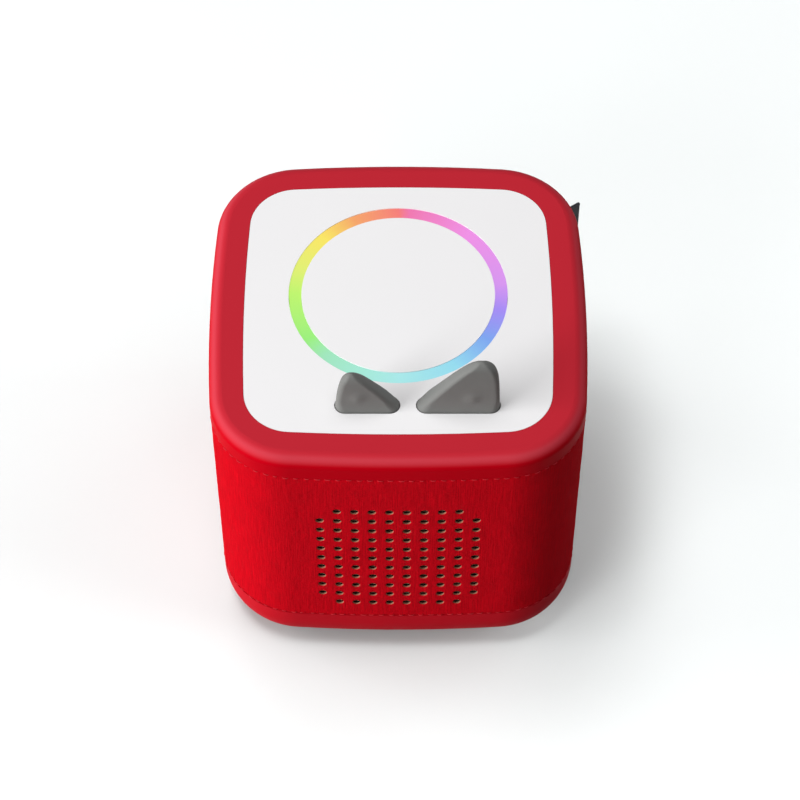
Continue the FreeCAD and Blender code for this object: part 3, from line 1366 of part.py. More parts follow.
holes = make_speaker_holes()
make_top_rim()
make_bottom_rim()
make_side_tab()
make_fabric_band(holes)
make_foam_band()
make_speaker_grille(holes)
make_lower_housing()
make_deck()
make_top_frame()
make_base()
make_battery()
make_top_panel()
make_ring()
make_figure_place()
make_control_board()
make_ear_cap("small_ear", small_ear_middle, small_ear_width, small_ear_apex, small_ear_lean,
             small_ear_peak_radius, small_ear_pip, small_ear_pip_place, -1)
make_ear_cap("large_ear", large_ear_middle, large_ear_width, large_ear_apex, large_ear_lean,
             large_ear_peak_radius, large_ear_pip, large_ear_pip_place, 1)
make_ear_works("small_ear", small_ear_middle, small_ear_width, small_ear_spring_place)
make_ear_works("large_ear", large_ear_middle, large_ear_width, large_ear_spring_place)
make_ear_switches()
make_main_board(make_speaker())
make_ports()

doc.recompute()
failed = [item.Name for item in doc.Objects if "Invalid" in item.State or "Error" in item.State]
if failed:
    raise RuntimeError(f"these objects failed: {failed}")
for label, shape_object in pieces.items():
    shape = shape_object.Shape
    if shape.isNull() or not shape.isValid():
        raise RuntimeError(f"{label} has no valid shape")
    print(label, len(shape.Solids), round(shape.Volume, 1))

os.makedirs("parts", exist_ok=True)
for label, shape_object in pieces.items():
    shape_object.Shape.exportStep(f"parts/{label}.step")
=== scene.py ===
import math

import bpy
import numpy as np
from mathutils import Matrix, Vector, noise


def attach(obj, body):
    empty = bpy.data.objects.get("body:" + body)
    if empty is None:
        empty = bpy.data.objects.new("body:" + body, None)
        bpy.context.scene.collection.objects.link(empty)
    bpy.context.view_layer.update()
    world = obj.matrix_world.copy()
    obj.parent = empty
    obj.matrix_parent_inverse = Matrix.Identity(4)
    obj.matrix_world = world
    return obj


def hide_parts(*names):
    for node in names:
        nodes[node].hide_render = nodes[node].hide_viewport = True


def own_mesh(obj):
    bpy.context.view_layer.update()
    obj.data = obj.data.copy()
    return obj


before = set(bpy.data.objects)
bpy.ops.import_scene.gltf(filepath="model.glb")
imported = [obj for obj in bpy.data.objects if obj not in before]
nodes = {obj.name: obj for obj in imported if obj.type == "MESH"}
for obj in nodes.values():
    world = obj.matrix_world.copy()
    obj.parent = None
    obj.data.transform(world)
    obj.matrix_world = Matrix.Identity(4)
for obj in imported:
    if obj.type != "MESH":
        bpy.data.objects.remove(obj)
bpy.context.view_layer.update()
mm = 0.001

# Studio. The player stands on a white paper sweep. A broad lamp from the left and one overhead light
# the player. Eight more light only the paper, so that it stays white round a short soft shadow. The
# paper throws little light back at the player, and fades to plain white further off.


def shade(red, green, blue):
    """A colour by its 0 to 255 screen values, as the linear numbers that a shader socket takes."""
    parts = [value / 255 for value in (red, green, blue)]
    linear = [part / 12.92 if part <= 0.04045 else ((part + 0.055) / 1.055) ** 2.4 for part in parts]
    return (*linear, 1.0)


scene = bpy.context.scene
scene.view_settings.view_transform = "Standard"

paper_reach = 6.0
paper_mesh = bpy.data.meshes.new("paper_sweep")
paper_mesh.from_pydata([(x, y, 0) for y in (-paper_reach, paper_reach) for x in (-paper_reach, paper_reach)],
                       [], [(0, 1, 3, 2)])
paper = bpy.data.objects.new("paper_sweep", paper_mesh)
scene.collection.objects.link(paper)


def join(tree, *pairs):
    """Links sockets in pairs: (from, to)."""
    for start, end in pairs:
        tree.links.new(start, end)


def seen_directly(tree):
    """1 for what the camera, a reflection or a clear piece shows, 0 for light that a surface gathers."""
    path = tree.nodes.new("ShaderNodeLightPath")
    either = tree.nodes.new("ShaderNodeMath")
    either.operation = "MAXIMUM"
    all_three = tree.nodes.new("ShaderNodeMath")
    all_three.operation = "MAXIMUM"
    join(tree, (path.outputs["Is Camera Ray"], either.inputs[0]),
         (path.outputs["Is Glossy Ray"], either.inputs[1]),
         (either.outputs[0], all_three.inputs[0]),
         (path.outputs["Is Transmission Ray"], all_three.inputs[1]))
    return all_three.outputs[0]


paper_tone = (0.436, 0.45, 0.45, 1)
paper_bounce = 0.112
paper_stock = bpy.data.materials.new("paper_stock")
paper_stock.use_nodes = True
tree = paper_stock.node_tree
tree.nodes.clear()
surface = tree.nodes.new("ShaderNodeOutputMaterial")
seen_paper = tree.nodes.new("ShaderNodeMixShader")
bright = tree.nodes.new("ShaderNodeBsdfDiffuse")
bright.inputs["Color"].default_value = paper_tone
dull = tree.nodes.new("ShaderNodeBsdfDiffuse")
dull.inputs["Color"].default_value = (paper_bounce,) * 3 + (1,)
far_start, far_end = 0.5, 1.3
far_white = tree.nodes.new("ShaderNodeEmission")
far_off = tree.nodes.new("ShaderNodeVectorMath")
far_off.operation = "LENGTH"
spread = tree.nodes.new("ShaderNodeTexCoord")
fade = tree.nodes.new("ShaderNodeMapRange")
fade.interpolation_type = "SMOOTHSTEP"
fade.inputs["From Min"].default_value = far_start
fade.inputs["From Max"].default_value = far_end
faded = tree.nodes.new("ShaderNodeMixShader")
join(tree, (spread.outputs["Object"], far_off.inputs[0]), (far_off.outputs["Value"], fade.inputs["Value"]),
     (fade.outputs[0], faded.inputs["Fac"]), (bright.outputs[0], faded.inputs[1]),
     (far_white.outputs[0], faded.inputs[2]),
     (seen_directly(tree), seen_paper.inputs["Fac"]), (dull.outputs[0], seen_paper.inputs[1]),
     (faded.outputs[0], seen_paper.inputs[2]), (seen_paper.outputs[0], surface.inputs["Surface"]))
paper_mesh.materials.append(paper_stock)

room_level = 0.15
room = bpy.data.worlds.new("room")
scene.world = room
room.use_nodes = True
tree = room.node_tree
tree.nodes.clear()
room_out = tree.nodes.new("ShaderNodeOutputWorld")
room_light = tree.nodes.new("ShaderNodeBackground")
room_seen = tree.nodes.new("ShaderNodeBackground")
room_mix = tree.nodes.new("ShaderNodeMixShader")
room_light.inputs["Strength"].default_value = room_level
room_seen.inputs["Color"].default_value = (1, 1, 1, 1)
room_seen.inputs["Strength"].default_value = 1.0
join(tree, (seen_directly(tree), room_mix.inputs["Fac"]), (room_light.outputs[0], room_mix.inputs[1]),
     (room_seen.outputs[0], room_mix.inputs[2]), (room_mix.outputs[0], room_out.inputs["Surface"]))

player_middle = Vector((0, 0, 0.06))


def hang_lamp(name, place, width, watts):
    """A square softbox at a place, turned to the player's middle."""
    lamp = bpy.data.lights.new(name, "AREA")
    lamp.size = width
    lamp.energy = watts
    stand = bpy.data.objects.new(name, lamp)
    stand.location = place
    stand.rotation_euler = (player_middle - Vector(place)).to_track_quat("-Z", "Y").to_euler()
    scene.collection.objects.link(stand)
    return stand


side_lamp = hang_lamp("side_lamp", (-1.81, -0.78, 0.46), 1.6, 80)
top_lamp = hang_lamp("top_lamp", (0, 0, 1.9), 1.6, 20.5)
paper_lamps = [
    hang_lamp("front_high_lamp", (-0.3, -0.2, 1.5), 0.35, 15),
    hang_lamp("rear_high_lamp", (-0.3, 0.24, 1.5), 0.5, 9.5),
    hang_lamp("rear_lamp", (-0.1, 0.55, 1.4), 0.4, 4.5),
    hang_lamp("front_left_lamp", (-0.7, -0.9, 0.7), 0.6, 9.5),
    hang_lamp("front_low_lamp", (0.25, -1.1, 0.25), 0.5, 7),
    hang_lamp("rear_right_lamp", (1.2, 0.7, 1.0), 0.8, 6),
    hang_lamp("right_lamp", (1.2, -0.2, 0.6), 0.8, 18),
    hang_lamp("left_lamp", (-1.2, 0.2, 0.5), 0.8, 16)]
for lamp, state in ([(side_lamp, "EXCLUDE"), (top_lamp, "EXCLUDE")]
                    + [(lamp, "INCLUDE") for lamp in paper_lamps]):
    reach = bpy.data.collections.new(lamp.name + "_reach")
    reach.objects.link(paper)
    lamp.light_linking.receiver_collection = reach
    reach.collection_objects[0].light_linking.link_state = state

camera_place = (0.000583, -0.515389, 0.799750)
camera_tilt = 34.9131
lens_length = 121.606
sensor = 36.0
lens = bpy.data.cameras.new("camera")
lens.lens = lens_length
lens.sensor_width = sensor
lens.clip_start = 0.01
camera = bpy.data.objects.new("camera", lens)
camera.location = camera_place
camera.rotation_euler = (math.radians(camera_tilt), 0, 0)
scene.collection.objects.link(camera)
scene.camera = camera

# Rims. Two soft red mouldings with a fine matt skin, a tray below and a frame on top. The knit is
# sewn to both. The tray and the top one's face are painted paler than the sides, as a painted sheen,
# and the top one's rounded lip palest, as a painted highlight.

rub_spread, rub_least = 0.06, 0.02


def finish(name, colour, roughness, gloss=0.5, mottle=0.05, patch=14 * mm, skin=0.5 * mm, skin_depth=0.02 * mm,
           metal=0.0):
    """A finish that varies a little: patches of tone and of roughness, and a fine skin in relief.

    It returns the material, its node tree, the shader, the tone mix and the relief, so that a section
    can add to them.
    """
    material = bpy.data.materials.new(name)
    material.use_nodes = True
    tree = material.node_tree
    shader = tree.nodes["Principled BSDF"]
    shader.inputs["Roughness"].default_value = roughness
    shader.inputs["Specular IOR Level"].default_value = gloss
    shader.inputs["Metallic"].default_value = metal
    place = tree.nodes.new("ShaderNodeTexCoord")
    cloud = tree.nodes.new("ShaderNodeTexNoise")
    cloud.inputs["Scale"].default_value = 1 / patch
    cloud.inputs["Detail"].default_value = 3
    tone = tree.nodes.new("ShaderNodeMix")
    tone.data_type = "RGBA"
    tone.inputs[6].default_value = (*(part * (1 - mottle) for part in colour[:3]), 1)
    tone.inputs[7].default_value = (*(min(1, part * (1 + mottle)) for part in colour[:3]), 1)
    rub = tree.nodes.new("ShaderNodeMapRange")
    rub.inputs["To Min"].default_value = max(rub_least, roughness - rub_spread)
    rub.inputs["To Max"].default_value = min(1, roughness + rub_spread)
    fine = tree.nodes.new("ShaderNodeTexNoise")
    fine.inputs["Scale"].default_value = 1 / skin
    fine.inputs["Detail"].default_value = 2
    relief = tree.nodes.new("ShaderNodeBump")
    relief.inputs["Distance"].default_value = skin_depth
    join(tree, (place.outputs["Object"], cloud.inputs["Vector"]), (place.outputs["Object"], fine.inputs["Vector"]),
         (cloud.outputs["Fac"], tone.inputs[0]), (tone.outputs[2], shader.inputs["Base Color"]),
         (cloud.outputs["Fac"], rub.inputs["Value"]), (rub.outputs[0], shader.inputs["Roughness"]),
         (fine.outputs["Fac"], relief.inputs["Height"]), (relief.outputs[0], shader.inputs["Normal"]))
    return material, tree, shader, tone, relief


def dress(material, *names):
    """Gives carried-over pieces their finish."""
    for name in names:
        mesh = nodes[name].data
        mesh.materials.clear()
        mesh.materials.append(material)


# Painted sheen and highlight: the tray, the top face and the rounded lip get tones by height that are paler than
# the real side red, in place of the lamps' reflection.
tray_red_painted_sheen, side_red = shade(186, 20, 34), shade(184, 2, 20)
lip_painted_highlight, face_painted_sheen = shade(194, 57, 69), shade(192, 41, 54)
tray_top, frame_base, lip_start, lip_full, rim_face = 25, 90, 110.0, 112.3, 113.0
rim_skin, tree, shader, tone, relief = finish("rim_skin", tray_red_painted_sheen, 0.5, gloss=0.015, mottle=0.04,
                                              skin=0.35 * mm, skin_depth=0.012 * mm)
shader.inputs["Specular Tint"].default_value = shade(255, 120, 130)
place = tree.nodes.new("ShaderNodeTexCoord")
level = tree.nodes.new("ShaderNodeSeparateXYZ")
join(tree, (place.outputs["Object"], level.inputs[0]))
below = tone.outputs[2]
for low, high, colour in ((tray_top, frame_base, side_red), (lip_start, lip_full, lip_painted_highlight),
                          (lip_full, rim_face, face_painted_sheen)):
    tone_and_sheen_ramp = tree.nodes.new("ShaderNodeMapRange")
    tone_and_sheen_ramp.interpolation_type = "SMOOTHSTEP"
    tone_and_sheen_ramp.inputs["From Min"].default_value = low * mm
    tone_and_sheen_ramp.inputs["From Max"].default_value = high * mm
    paler = tree.nodes.new("ShaderNodeMix")
    paler.data_type = "RGBA"
    paler.inputs[7].default_value = colour
    join(tree, (level.outputs["Z"], tone_and_sheen_ramp.inputs["Value"]), (tone_and_sheen_ramp.outputs[0], paler.inputs[0]),
         (below, paler.inputs[6]))
    below = paler.outputs[2]
join(tree, (below, shader.inputs["Base Color"]))
dress(rim_skin, "bottom_rim", "top_rim")

# Base plate, battery door and housing. Moulded in dark grey hard plastic with a spark-eroded matt
# skin. The plate is screwed up into the housing, and the door has two screws of its own.

base_grey = shade(58, 58, 60)
base_skin = finish("base_skin", base_grey, 0.62, gloss=0.4, skin=0.22 * mm, skin_depth=0.03 * mm)[0]
dress(base_skin, "base_plate", "battery_door")
housing_grey = shade(44, 44, 46)
housing_skin = finish("housing_skin", housing_grey, 0.55, gloss=0.4, skin=0.6 * mm, skin_depth=0.015 * mm)[0]
dress(housing_skin, "lower_housing", "deck", "top_frame", "battery_tray", "ring_carrier", "small_ear_carrier",
      "large_ear_carrier")

# Feet. Four discs of black rubber, cut from sheet with a grip of fine rings, and glued into round
# seats in the base plate.

foot_places = [(x, y) for x in (-30, 30) for y in (-33, 33)]
foot_radius, foot_height, foot_edge, edge_in, edge_up, foot_turns = 5.0, 1.55, 0.35, 0.1, 0.12, 48
grooves, groove_start, groove_half, groove_depth = 4, 1.1, 0.2, 0.18
sharp_angle = 50


def mesh_piece(name, points, faces, material, body="player"):
    """A piece from points in millimetres and faces, with crisp corners. It rides on a body."""
    mesh = bpy.data.meshes.new(name)
    mesh.from_pydata((np.asarray(points, float) * mm).tolist(), [], [tuple(map(int, face)) for face in faces])
    mesh.validate()
    mesh.shade_smooth()
    mesh.set_sharp_from_angle(angle=math.radians(sharp_angle))
    mesh.materials.append(material)
    made = bpy.data.objects.new(name, mesh)
    scene.collection.objects.link(made)
    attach(made, body)
    return made


def lathe(outline, turns, x, y):
    """Points and faces of an outline of (radius, height) pairs turned about an upright axis."""
    angles = np.arange(turns) * 2 * math.pi / turns
    points = [(x + radius * math.cos(angle), y + radius * math.sin(angle), height)
              for radius, height in outline for angle in angles]
    faces = [(row * turns + step, row * turns + (step + 1) % turns,
              (row + 1) * turns + (step + 1) % turns, (row + 1) * turns + step)
             for row in range(len(outline) - 1) for step in range(turns)]
    last = (len(outline) - 1) * turns
    return points, faces + [tuple(range(turns))[::-1], tuple(range(last, last + turns))]


rubber_black = shade(34, 34, 35)
foot_rubber = finish("foot_rubber", rubber_black, 0.78, gloss=0.35, skin=0.3 * mm, skin_depth=0.03 * mm)[0]
sole = [(foot_radius, foot_height), (foot_radius, foot_edge), (foot_radius - edge_in, edge_up),
        (foot_radius - foot_edge, 0)]
for groove in range(grooves):
    middle = foot_radius - groove_start - groove
    sole += [(middle + groove_half, 0), (middle + groove_half / 2, groove_depth),
             (middle - groove_half / 2, groove_depth), (middle - groove_half, 0)]
points, faces = [], []
for x, y in foot_places:
    disc, skin = lathe(sole, foot_turns, x, y)
    faces += [tuple(index + len(points) for index in face)[::-1] for face in skin]
    points += disc
feet = mesh_piece("feet", points, faces, foot_rubber)
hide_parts("foot_pads")

# Screws. Zinc-plated steel with a cross recess, driven into bosses. Small ones hold the boards, the
# speaker and the battery door, longer ones the two halves of the housing.

zinc = shade(176, 178, 180)
zinc_plate = finish("zinc_plate", zinc, 0.34, metal=1.0, mottle=0.08, patch=2 * mm, skin=0.2 * mm,
                    skin_depth=0.006 * mm)[0]
dress(zinc_plate, "housing_screws", "board_screws", "speaker_screws", "battery_door_screws")

# Battery. Two cells side by side in shrink sleeve, held in the tray between plated spring contacts.
# The shell of the charging inlet and the speaker's terminals are plated in the same way.

sleeve_blue = shade(38, 92, 150)
sleeve = finish("shrink_sleeve", sleeve_blue, 0.32, mottle=0.06, skin=3 * mm, skin_depth=0.02 * mm)[0]
dress(sleeve, "battery_cells")
nickel = shade(196, 192, 180)
plated = finish("nickel_plate", nickel, 0.26, metal=1.0, mottle=0.06, patch=3 * mm, skin=0.4 * mm,
                skin_depth=0.004 * mm)[0]
dress(plated, "battery_contacts", "usb_socket", "speaker_terminal")

# Circuit boards. Green glass-epoxy boards under a glossy mask, with black chips, plated cans, white
# connectors, small lamps and two soft push switches.

mask_green = shade(24, 92, 62)
mask = finish("solder_mask", mask_green, 0.28, mottle=0.12, patch=5 * mm, skin=0.7 * mm,
              skin_depth=0.008 * mm)[0]
dress(mask, "main_board", "control_board", "antenna_board")
chip_black = finish("chip_resin", shade(30, 30, 32), 0.5, mottle=0.08, patch=3 * mm, skin=0.12 * mm,
                    skin_depth=0.008 * mm)[0]
dress(chip_black, "chips", "power_switch", "ear_switches", "headphone_socket")
can = finish("drawn_can", shade(188, 190, 192), 0.3, metal=1.0, mottle=0.05, patch=4 * mm, skin=0.3 * mm,
             skin_depth=0.004 * mm)[0]
dress(can, "capacitors")
nylon = finish("white_nylon", shade(232, 228, 216), 0.45, mottle=0.04, skin=0.5 * mm)[0]
dress(nylon, "board_connectors")
lamp_resin = finish("lamp_resin", shade(244, 240, 214), 0.2, mottle=0.05, patch=1.5 * mm, skin=0.3 * mm)[0]
dress(lamp_resin, "lamps")

# Antenna coil and voice coil. Enamelled copper, wound turn beside turn. The flat coils lie on the
# antenna board, and the voice coil sits on the neck of the cone.

enamel = finish("enamelled_copper", shade(184, 98, 52), 0.28, metal=1.0, mottle=0.12, patch=2 * mm,
                skin=0.25 * mm, skin_depth=0.03 * mm)[0]
dress(enamel, "antenna_coil", "voice_coil")

# Leads and ribbon cable. Stranded wire in soft coloured jackets, and a flat grey cable between the
# two boards, all pressed into their connectors.

jacket_red = finish("wire_jacket", shade(170, 40, 36), 0.42, mottle=0.08, patch=6 * mm, skin=0.8 * mm)[0]
dress(jacket_red, "battery_leads")
jacket_black = finish("speaker_wire_jacket", shade(40, 40, 42), 0.42, mottle=0.08, patch=6 * mm, skin=0.8 * mm)[0]
dress(jacket_black, "speaker_leads")
flat_cable = finish("flat_cable", shade(150, 152, 156), 0.5, mottle=0.05, patch=5 * mm, skin=0.6 * mm)[0]
dress(flat_cable, "ribbon_cable")

# Speaker. A pressed black steel basket with a paper cone in a rubber surround, on a ferrite magnet
# between two steel plates, clamped by four screws against a foam gasket. The magnet that holds a
# figure on the plate above is nickel plated.

basket_black = finish("basket_paint", shade(36, 36, 38), 0.4, mottle=0.06, patch=8 * mm, skin=0.5 * mm)[0]
dress(basket_black, "speaker_basket", "speaker_yoke", "speaker_top_plate")
ferrite = finish("ferrite", shade(62, 60, 60), 0.7, mottle=0.18, patch=3 * mm, skin=0.3 * mm,
                 skin_depth=0.03 * mm)[0]
dress(ferrite, "speaker_magnet")
paper_cone = finish("cone_paper", shade(52, 50, 48), 0.85, mottle=0.14, patch=2 * mm, skin=0.4 * mm,
                    skin_depth=0.05 * mm)[0]
dress(paper_cone, "speaker_cone", "dust_cap")
surround = finish("surround_rubber", shade(28, 28, 29), 0.55, mottle=0.06, skin=0.5 * mm)[0]
dress(surround, "speaker_surround", "speaker_gasket")
magnet_plate = finish("magnet_plating", shade(170, 168, 162), 0.24, metal=1.0, mottle=0.05, patch=4 * mm,
                      skin=0.5 * mm, skin_depth=0.003 * mm)[0]
dress(magnet_plate, "platform_magnet")

# Speaker grille. A beige-grey moulded plate behind the knit, with the same round holes, curved to
# the front of the body.

grille_beige = shade(178, 160, 136)
grille_skin = finish("grille_skin", grille_beige, 0.55, gloss=0.4, mottle=0.06, skin=0.3 * mm)[0]
dress(grille_skin, "speaker_grille")

# Sound cloth. A black open-weave cloth, cut square and glued over the back of the grille, so that
# dust and crumbs stay out of the speaker.

body_half, side_bow, corner_round = 60.0, 510.0, 26.6
corner_middle = 32.32
bow_middle = body_half - side_bow
side_turn = math.asin(corner_middle / (side_bow - corner_round))
side_run = side_bow * side_turn
corner_run = corner_round * (math.pi / 2 - 2 * side_turn)
quarter = 2 * side_run + corner_run
round_body = 4 * quarter


def on_body(along, depth=0.0):
    """The plan point at a length along the body's outline, walked from the front's middle to the
    right, and at a depth inside it."""
    side, along = divmod(along + side_run, quarter)
    along -= side_run
    if along <= side_run:
        turn, radius, x, y = along / side_bow, side_bow, 0.0, -bow_middle
    else:
        turn, radius = side_turn + (along - side_run) / corner_round, corner_round
        x, y = corner_middle, -corner_middle
    x += (radius - depth) * math.sin(turn)
    y -= (radius - depth) * math.cos(turn)
    for _ in range(int(side) % 4):
        x, y = -y, x
    return x, y


def along_front(x):
    """The length along the outline of the front's point at x."""
    return side_bow * math.asin(x / side_bow)


def shell(grid, front_depth, back_depth, holes=()):
    """A closed sheet that follows the body. The grid is (lengths along, heights, wraps).

    A hole is a block of the grid's cells, opened to a rounded shape: (columns, rows, middle, half
    straight sizes, radius, rings). A ring is (share of the way out from the radius to the cells, sink).
    """
    alongs, heights, wraps = grid
    columns, rows = len(alongs), len(heights)
    flat = [(along, height, 0.0) for height in heights for along in alongs]
    faces, open_cells = [], set()
    cells_across = columns if wraps else columns - 1
    for (first, last), (low, high), *_ in holes:
        open_cells |= {(column % columns, row) for column in range(first, last) for row in range(low, high)}
    for row in range(rows - 1):
        for column in range(cells_across):
            if (column, row) not in open_cells:
                after = (column + 1) % columns
                faces.append((row * columns + column, row * columns + after,
                              (row + 1) * columns + after, (row + 1) * columns + column))
    for (first, last), (low, high), (middle, level), (straight, rise), radius, rings in holes:
        edge = ([(column, low) for column in range(first, last)] + [(last, row) for row in range(low, high)]
                + [(column, high) for column in range(last, first, -1)]
                + [(first, row) for row in range(high, low, -1)])
        start = around = [row * columns + column % columns for column, row in edge]
        for share, sink in rings:
            ring = []
            for index in around:
                along, height = flat[index][:2]
                if wraps and along - middle > round_body / 2:
                    along -= round_body
                near = (middle + max(-straight, min(straight, along - middle)),
                        level + max(-rise, min(rise, height - level)))
                across, up = along - near[0], height - near[1]
                length = math.hypot(across, up)
                reach = radius + (length - radius) * share
                ring.append(len(flat))
                flat.append((near[0] + across / length * reach, near[1] + up / length * reach, sink))
            faces += [(start[step], start[(step + 1) % len(ring)], ring[(step + 1) % len(ring)], ring[step])
                      for step in range(len(ring))]
            start = ring
    count = len(flat)
    sides = {}
    for face in faces:
        for step, point in enumerate(face):
            sides[(point, face[(step + 1) % len(face)])] = True
    rim = [(start, end) for start, end in sides if (end, start) not in sides]
    faces += ([tuple(count + point for point in face[::-1]) for face in faces]
              + [(end, start, count + start, count + end) for start, end in rim])
    points = [(*on_body(along, front_depth(along, height) + sink), height) for along, height, sink in flat]
    points += [(*on_body(along, back_depth), height) for along, height, sink in flat]
    return points, faces, flat * 2


def lay_map(made, lay):
    """Stores how far along and how high each point of a sheet lies, for its weave.

    In the faces that close a ring, the lengths near its end are counted back from the start.
    """
    mesh = made.data
    layer = mesh.uv_layers.new(name="lay")
    corners = np.empty(len(mesh.loops), int)
    mesh.loops.foreach_get("vertex_index", corners)
    flat = np.asarray(lay, float)[corners, :2] * mm
    starts = np.empty(len(mesh.polygons), int)
    totals = np.empty(len(mesh.polygons), int)
    mesh.polygons.foreach_get("loop_start", starts)
    mesh.polygons.foreach_get("loop_total", totals)
    face_of = np.repeat(np.arange(len(starts)), totals)
    least = np.minimum.reduceat(flat[:, 0], starts)[face_of]
    flat[:, 0] += np.where(flat[:, 0] - least > round_body * mm / 2, -round_body * mm, 0)
    layer.data.foreach_set("uv", flat.astype(np.float32).ravel())


cloth_half, speaker_height, cloth_face, cloth_thick, cloth_steps = 30.0, 58.0, 4.02, 0.36, 61
cloth_grid = ([along_front(x) for x in np.linspace(-cloth_half, cloth_half, cloth_steps)],
              np.linspace(speaker_height - cloth_half, speaker_height + cloth_half, cloth_steps).tolist(), False)
points, faces, lay = shell(cloth_grid, lambda along, height: cloth_face, cloth_face + cloth_thick)
cloth_black = finish("sound_cloth_weave", shade(16, 16, 17), 0.9, gloss=0.15, mottle=0.2, patch=1 * mm)[0]
cloth = mesh_piece("sound_cloth", points, faces, cloth_black)
lay_map(cloth, lay)
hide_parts("speaker_cloth")

# Foam. A soft band of open-cell foam glued round the housing under the knit, with a square window
# for the grille and another for the sockets.

foam_face, foam_back, foam_low, foam_high = 1.4, 4.55, 25.8, 99.7
foam_step, foam_rise, margin, above_window, below_port, above_port = 3, 2.8, 3, 2, 2, 3
torn_depth, torn_scale = 0.06, 0.5


def even(start, end, step):
    """Even steps of about a size between two values."""
    return np.linspace(start, end, max(2, round((end - start) / step) + 1)).tolist()


def nearest(steps, value):
    """The number of the step nearest to a value."""
    return int(np.argmin([abs(step - value) for step in steps]))


window_half = 30.3
window_edge = along_front(window_half)
port_edge = 28.3
half_way = round_body / 2
window_stop, window_top = window_edge + margin, speaker_height + window_half + above_window
port_start, port_stop = half_way - port_edge - margin, half_way + port_edge + margin
foam_alongs = even(-window_stop, window_stop, foam_step)
for start, stop in ((window_stop, port_start), (port_start, port_stop), (port_stop, round_body - window_stop)):
    foam_alongs += even(start, stop, foam_step)[1:]
foam_alongs = foam_alongs[:-1]
foam_heights = even(foam_low, window_top, foam_rise)
foam_heights += even(window_top, foam_high, foam_rise)[1:]
port_low, port_high, port_round, window_round = 30.2, 44.8, 5.0, 0.5
port_level = (port_low + port_high) / 2
foam_holes = [
    ((0, nearest(foam_alongs, window_stop)), (0, nearest(foam_heights, window_top)), (0.0, speaker_height),
     (window_edge - window_round, window_half - window_round), window_round, [(0.0, 0.0)]),
    ((nearest(foam_alongs, port_start), nearest(foam_alongs, port_stop)),
     (nearest(foam_heights, port_low - below_port), nearest(foam_heights, port_high + above_port)),
     (half_way, port_level), (port_edge - port_round, (port_high - port_low) / 2 - port_round), port_round,
     [(0.0, 0.0)])]


def foam_swell(along, height):
    """The foam's face, a little uneven as torn cells leave it."""
    return foam_face + torn_depth * noise.noise(Vector((*on_body(along), height)) * torn_scale)


points, faces, lay = shell((foam_alongs, foam_heights, True), foam_swell, foam_back, foam_holes)
foam_grey = finish("foam", shade(74, 72, 72), 0.95, gloss=0.1, mottle=0.25, patch=0.8 * mm, skin=0.5 * mm,
                   skin_depth=0.2 * mm)[0]
foam = mesh_piece("foam", points, faces, foam_grey)
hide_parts("foam_band")

# Knit band. One tube of fine red jersey, stretched over the foam. The speaker holes are punched in
# straight rows, and a window at the back is bonded round the sockets.

knit_low, knit_high, knit_thick = 23.8, 101.7, 1.2
hole_pitch, hole_radius, hole_columns, hole_rows = 5.5, 1.3, 10, 11
cells, round_cells, low_cells, high_cells = 6, 400, 4, 15
field_half = hole_columns * hole_pitch / 2
field_low = speaker_height - hole_rows * hole_pitch / 2
field_high = speaker_height + hole_rows * hole_pitch / 2
field_edge = along_front(field_half)
knit_alongs = [along_front(x) for x in np.linspace(-field_half, field_half, hole_columns * cells + 1)]
knit_alongs += np.linspace(field_edge, round_body - field_edge, round_cells + 1).tolist()[1:-1]
knit_heights = (np.linspace(knit_low, field_low, low_cells + 1).tolist()
                + np.linspace(field_low, field_high, hole_rows * cells + 1).tolist()[1:-1]
                + np.linspace(field_high, knit_high, high_cells + 1).tolist())
hole_lip = [(0.4, 0.0), (0.12, 0.0), (0.03, 0.03), (0.0, 0.1), (0.0, 0.7)]
knit_holes = []
for row in range(hole_rows):
    for column in range(hole_columns):
        if row in (0, hole_rows - 1) and column in (0, hole_columns - 1):
            continue
        first_row = low_cells + row * cells
        middle = along_front((column + 0.5) * hole_pitch - field_half), field_low + (row + 0.5) * hole_pitch
        knit_holes.append(((column * cells, (column + 1) * cells), (first_row, first_row + cells), middle,
                           (0.0, 0.0), hole_radius, hole_lip))
bond, bond_round = 2, 5.05
knit_holes.append((
    (nearest(knit_alongs, half_way - port_edge - bond), nearest(knit_alongs, half_way + port_edge + bond)),
    (nearest(knit_heights, port_low - bond), nearest(knit_heights, port_high + bond)), (half_way, port_level),
    (port_edge - bond_round, (port_high - port_low) / 2 - bond_round), bond_round, hole_lip))
swell, swell_scale, ripple, ripple_scale, calm_edge = 0.07, 0.11, 0.045, 0.34, 4


def knit_swell(along, height):
    """The jersey's face: it lies a little uneven on the foam, and flat where it meets the hems."""
    place = Vector((*on_body(along), height))
    calm = max(0, min(1, (height - knit_low) / calm_edge, (knit_high - height) / calm_edge))
    return (swell * noise.noise(place * swell_scale) + ripple * noise.noise(place * ripple_scale)) * calm


jersey_red = shade(196, 4, 22)
wale, course, lean, sway_share, sway_width = round_body / 620, 0.55, 1.6, 0.15, 4
streak_width, streak_run, pebble_width = 0.32, 11.0, 1.1
relief_shares, relief_depth = (0.5, 0.35, 1.7, 1.0), 0.13
# Painted shade in the knit's hollows: the shares of yarn, fuzz, pebbles and streaks in it, and how far it dims.
hollow_shade_shares, hollow_shade_range, hollow_shade_dim = (0.12, 0.0, 0.2, 0.68), (0.36, 0.64), (0.83, 1.12)
jersey, tree, shader, tone, relief = finish("red_jersey", jersey_red, 0.9, gloss=0.03, mottle=0.05, patch=7 * mm,
                                            skin=0.16 * mm)
shader.inputs["Sheen Weight"].default_value = 0.1
shader.inputs["Sheen Roughness"].default_value = 0.5
shader.inputs["Sheen Tint"].default_value = shade(255, 40, 50)


def sums(tree, kind, *values):
    """One sum of a shader tree: values are numbers or sockets."""
    node = tree.nodes.new("ShaderNodeMath")
    node.operation = kind
    for slot, value in zip(node.inputs, values):
        if isinstance(value, (int, float)):
            slot.default_value = value
        else:
            tree.links.new(value, slot)
    return node.outputs[0]


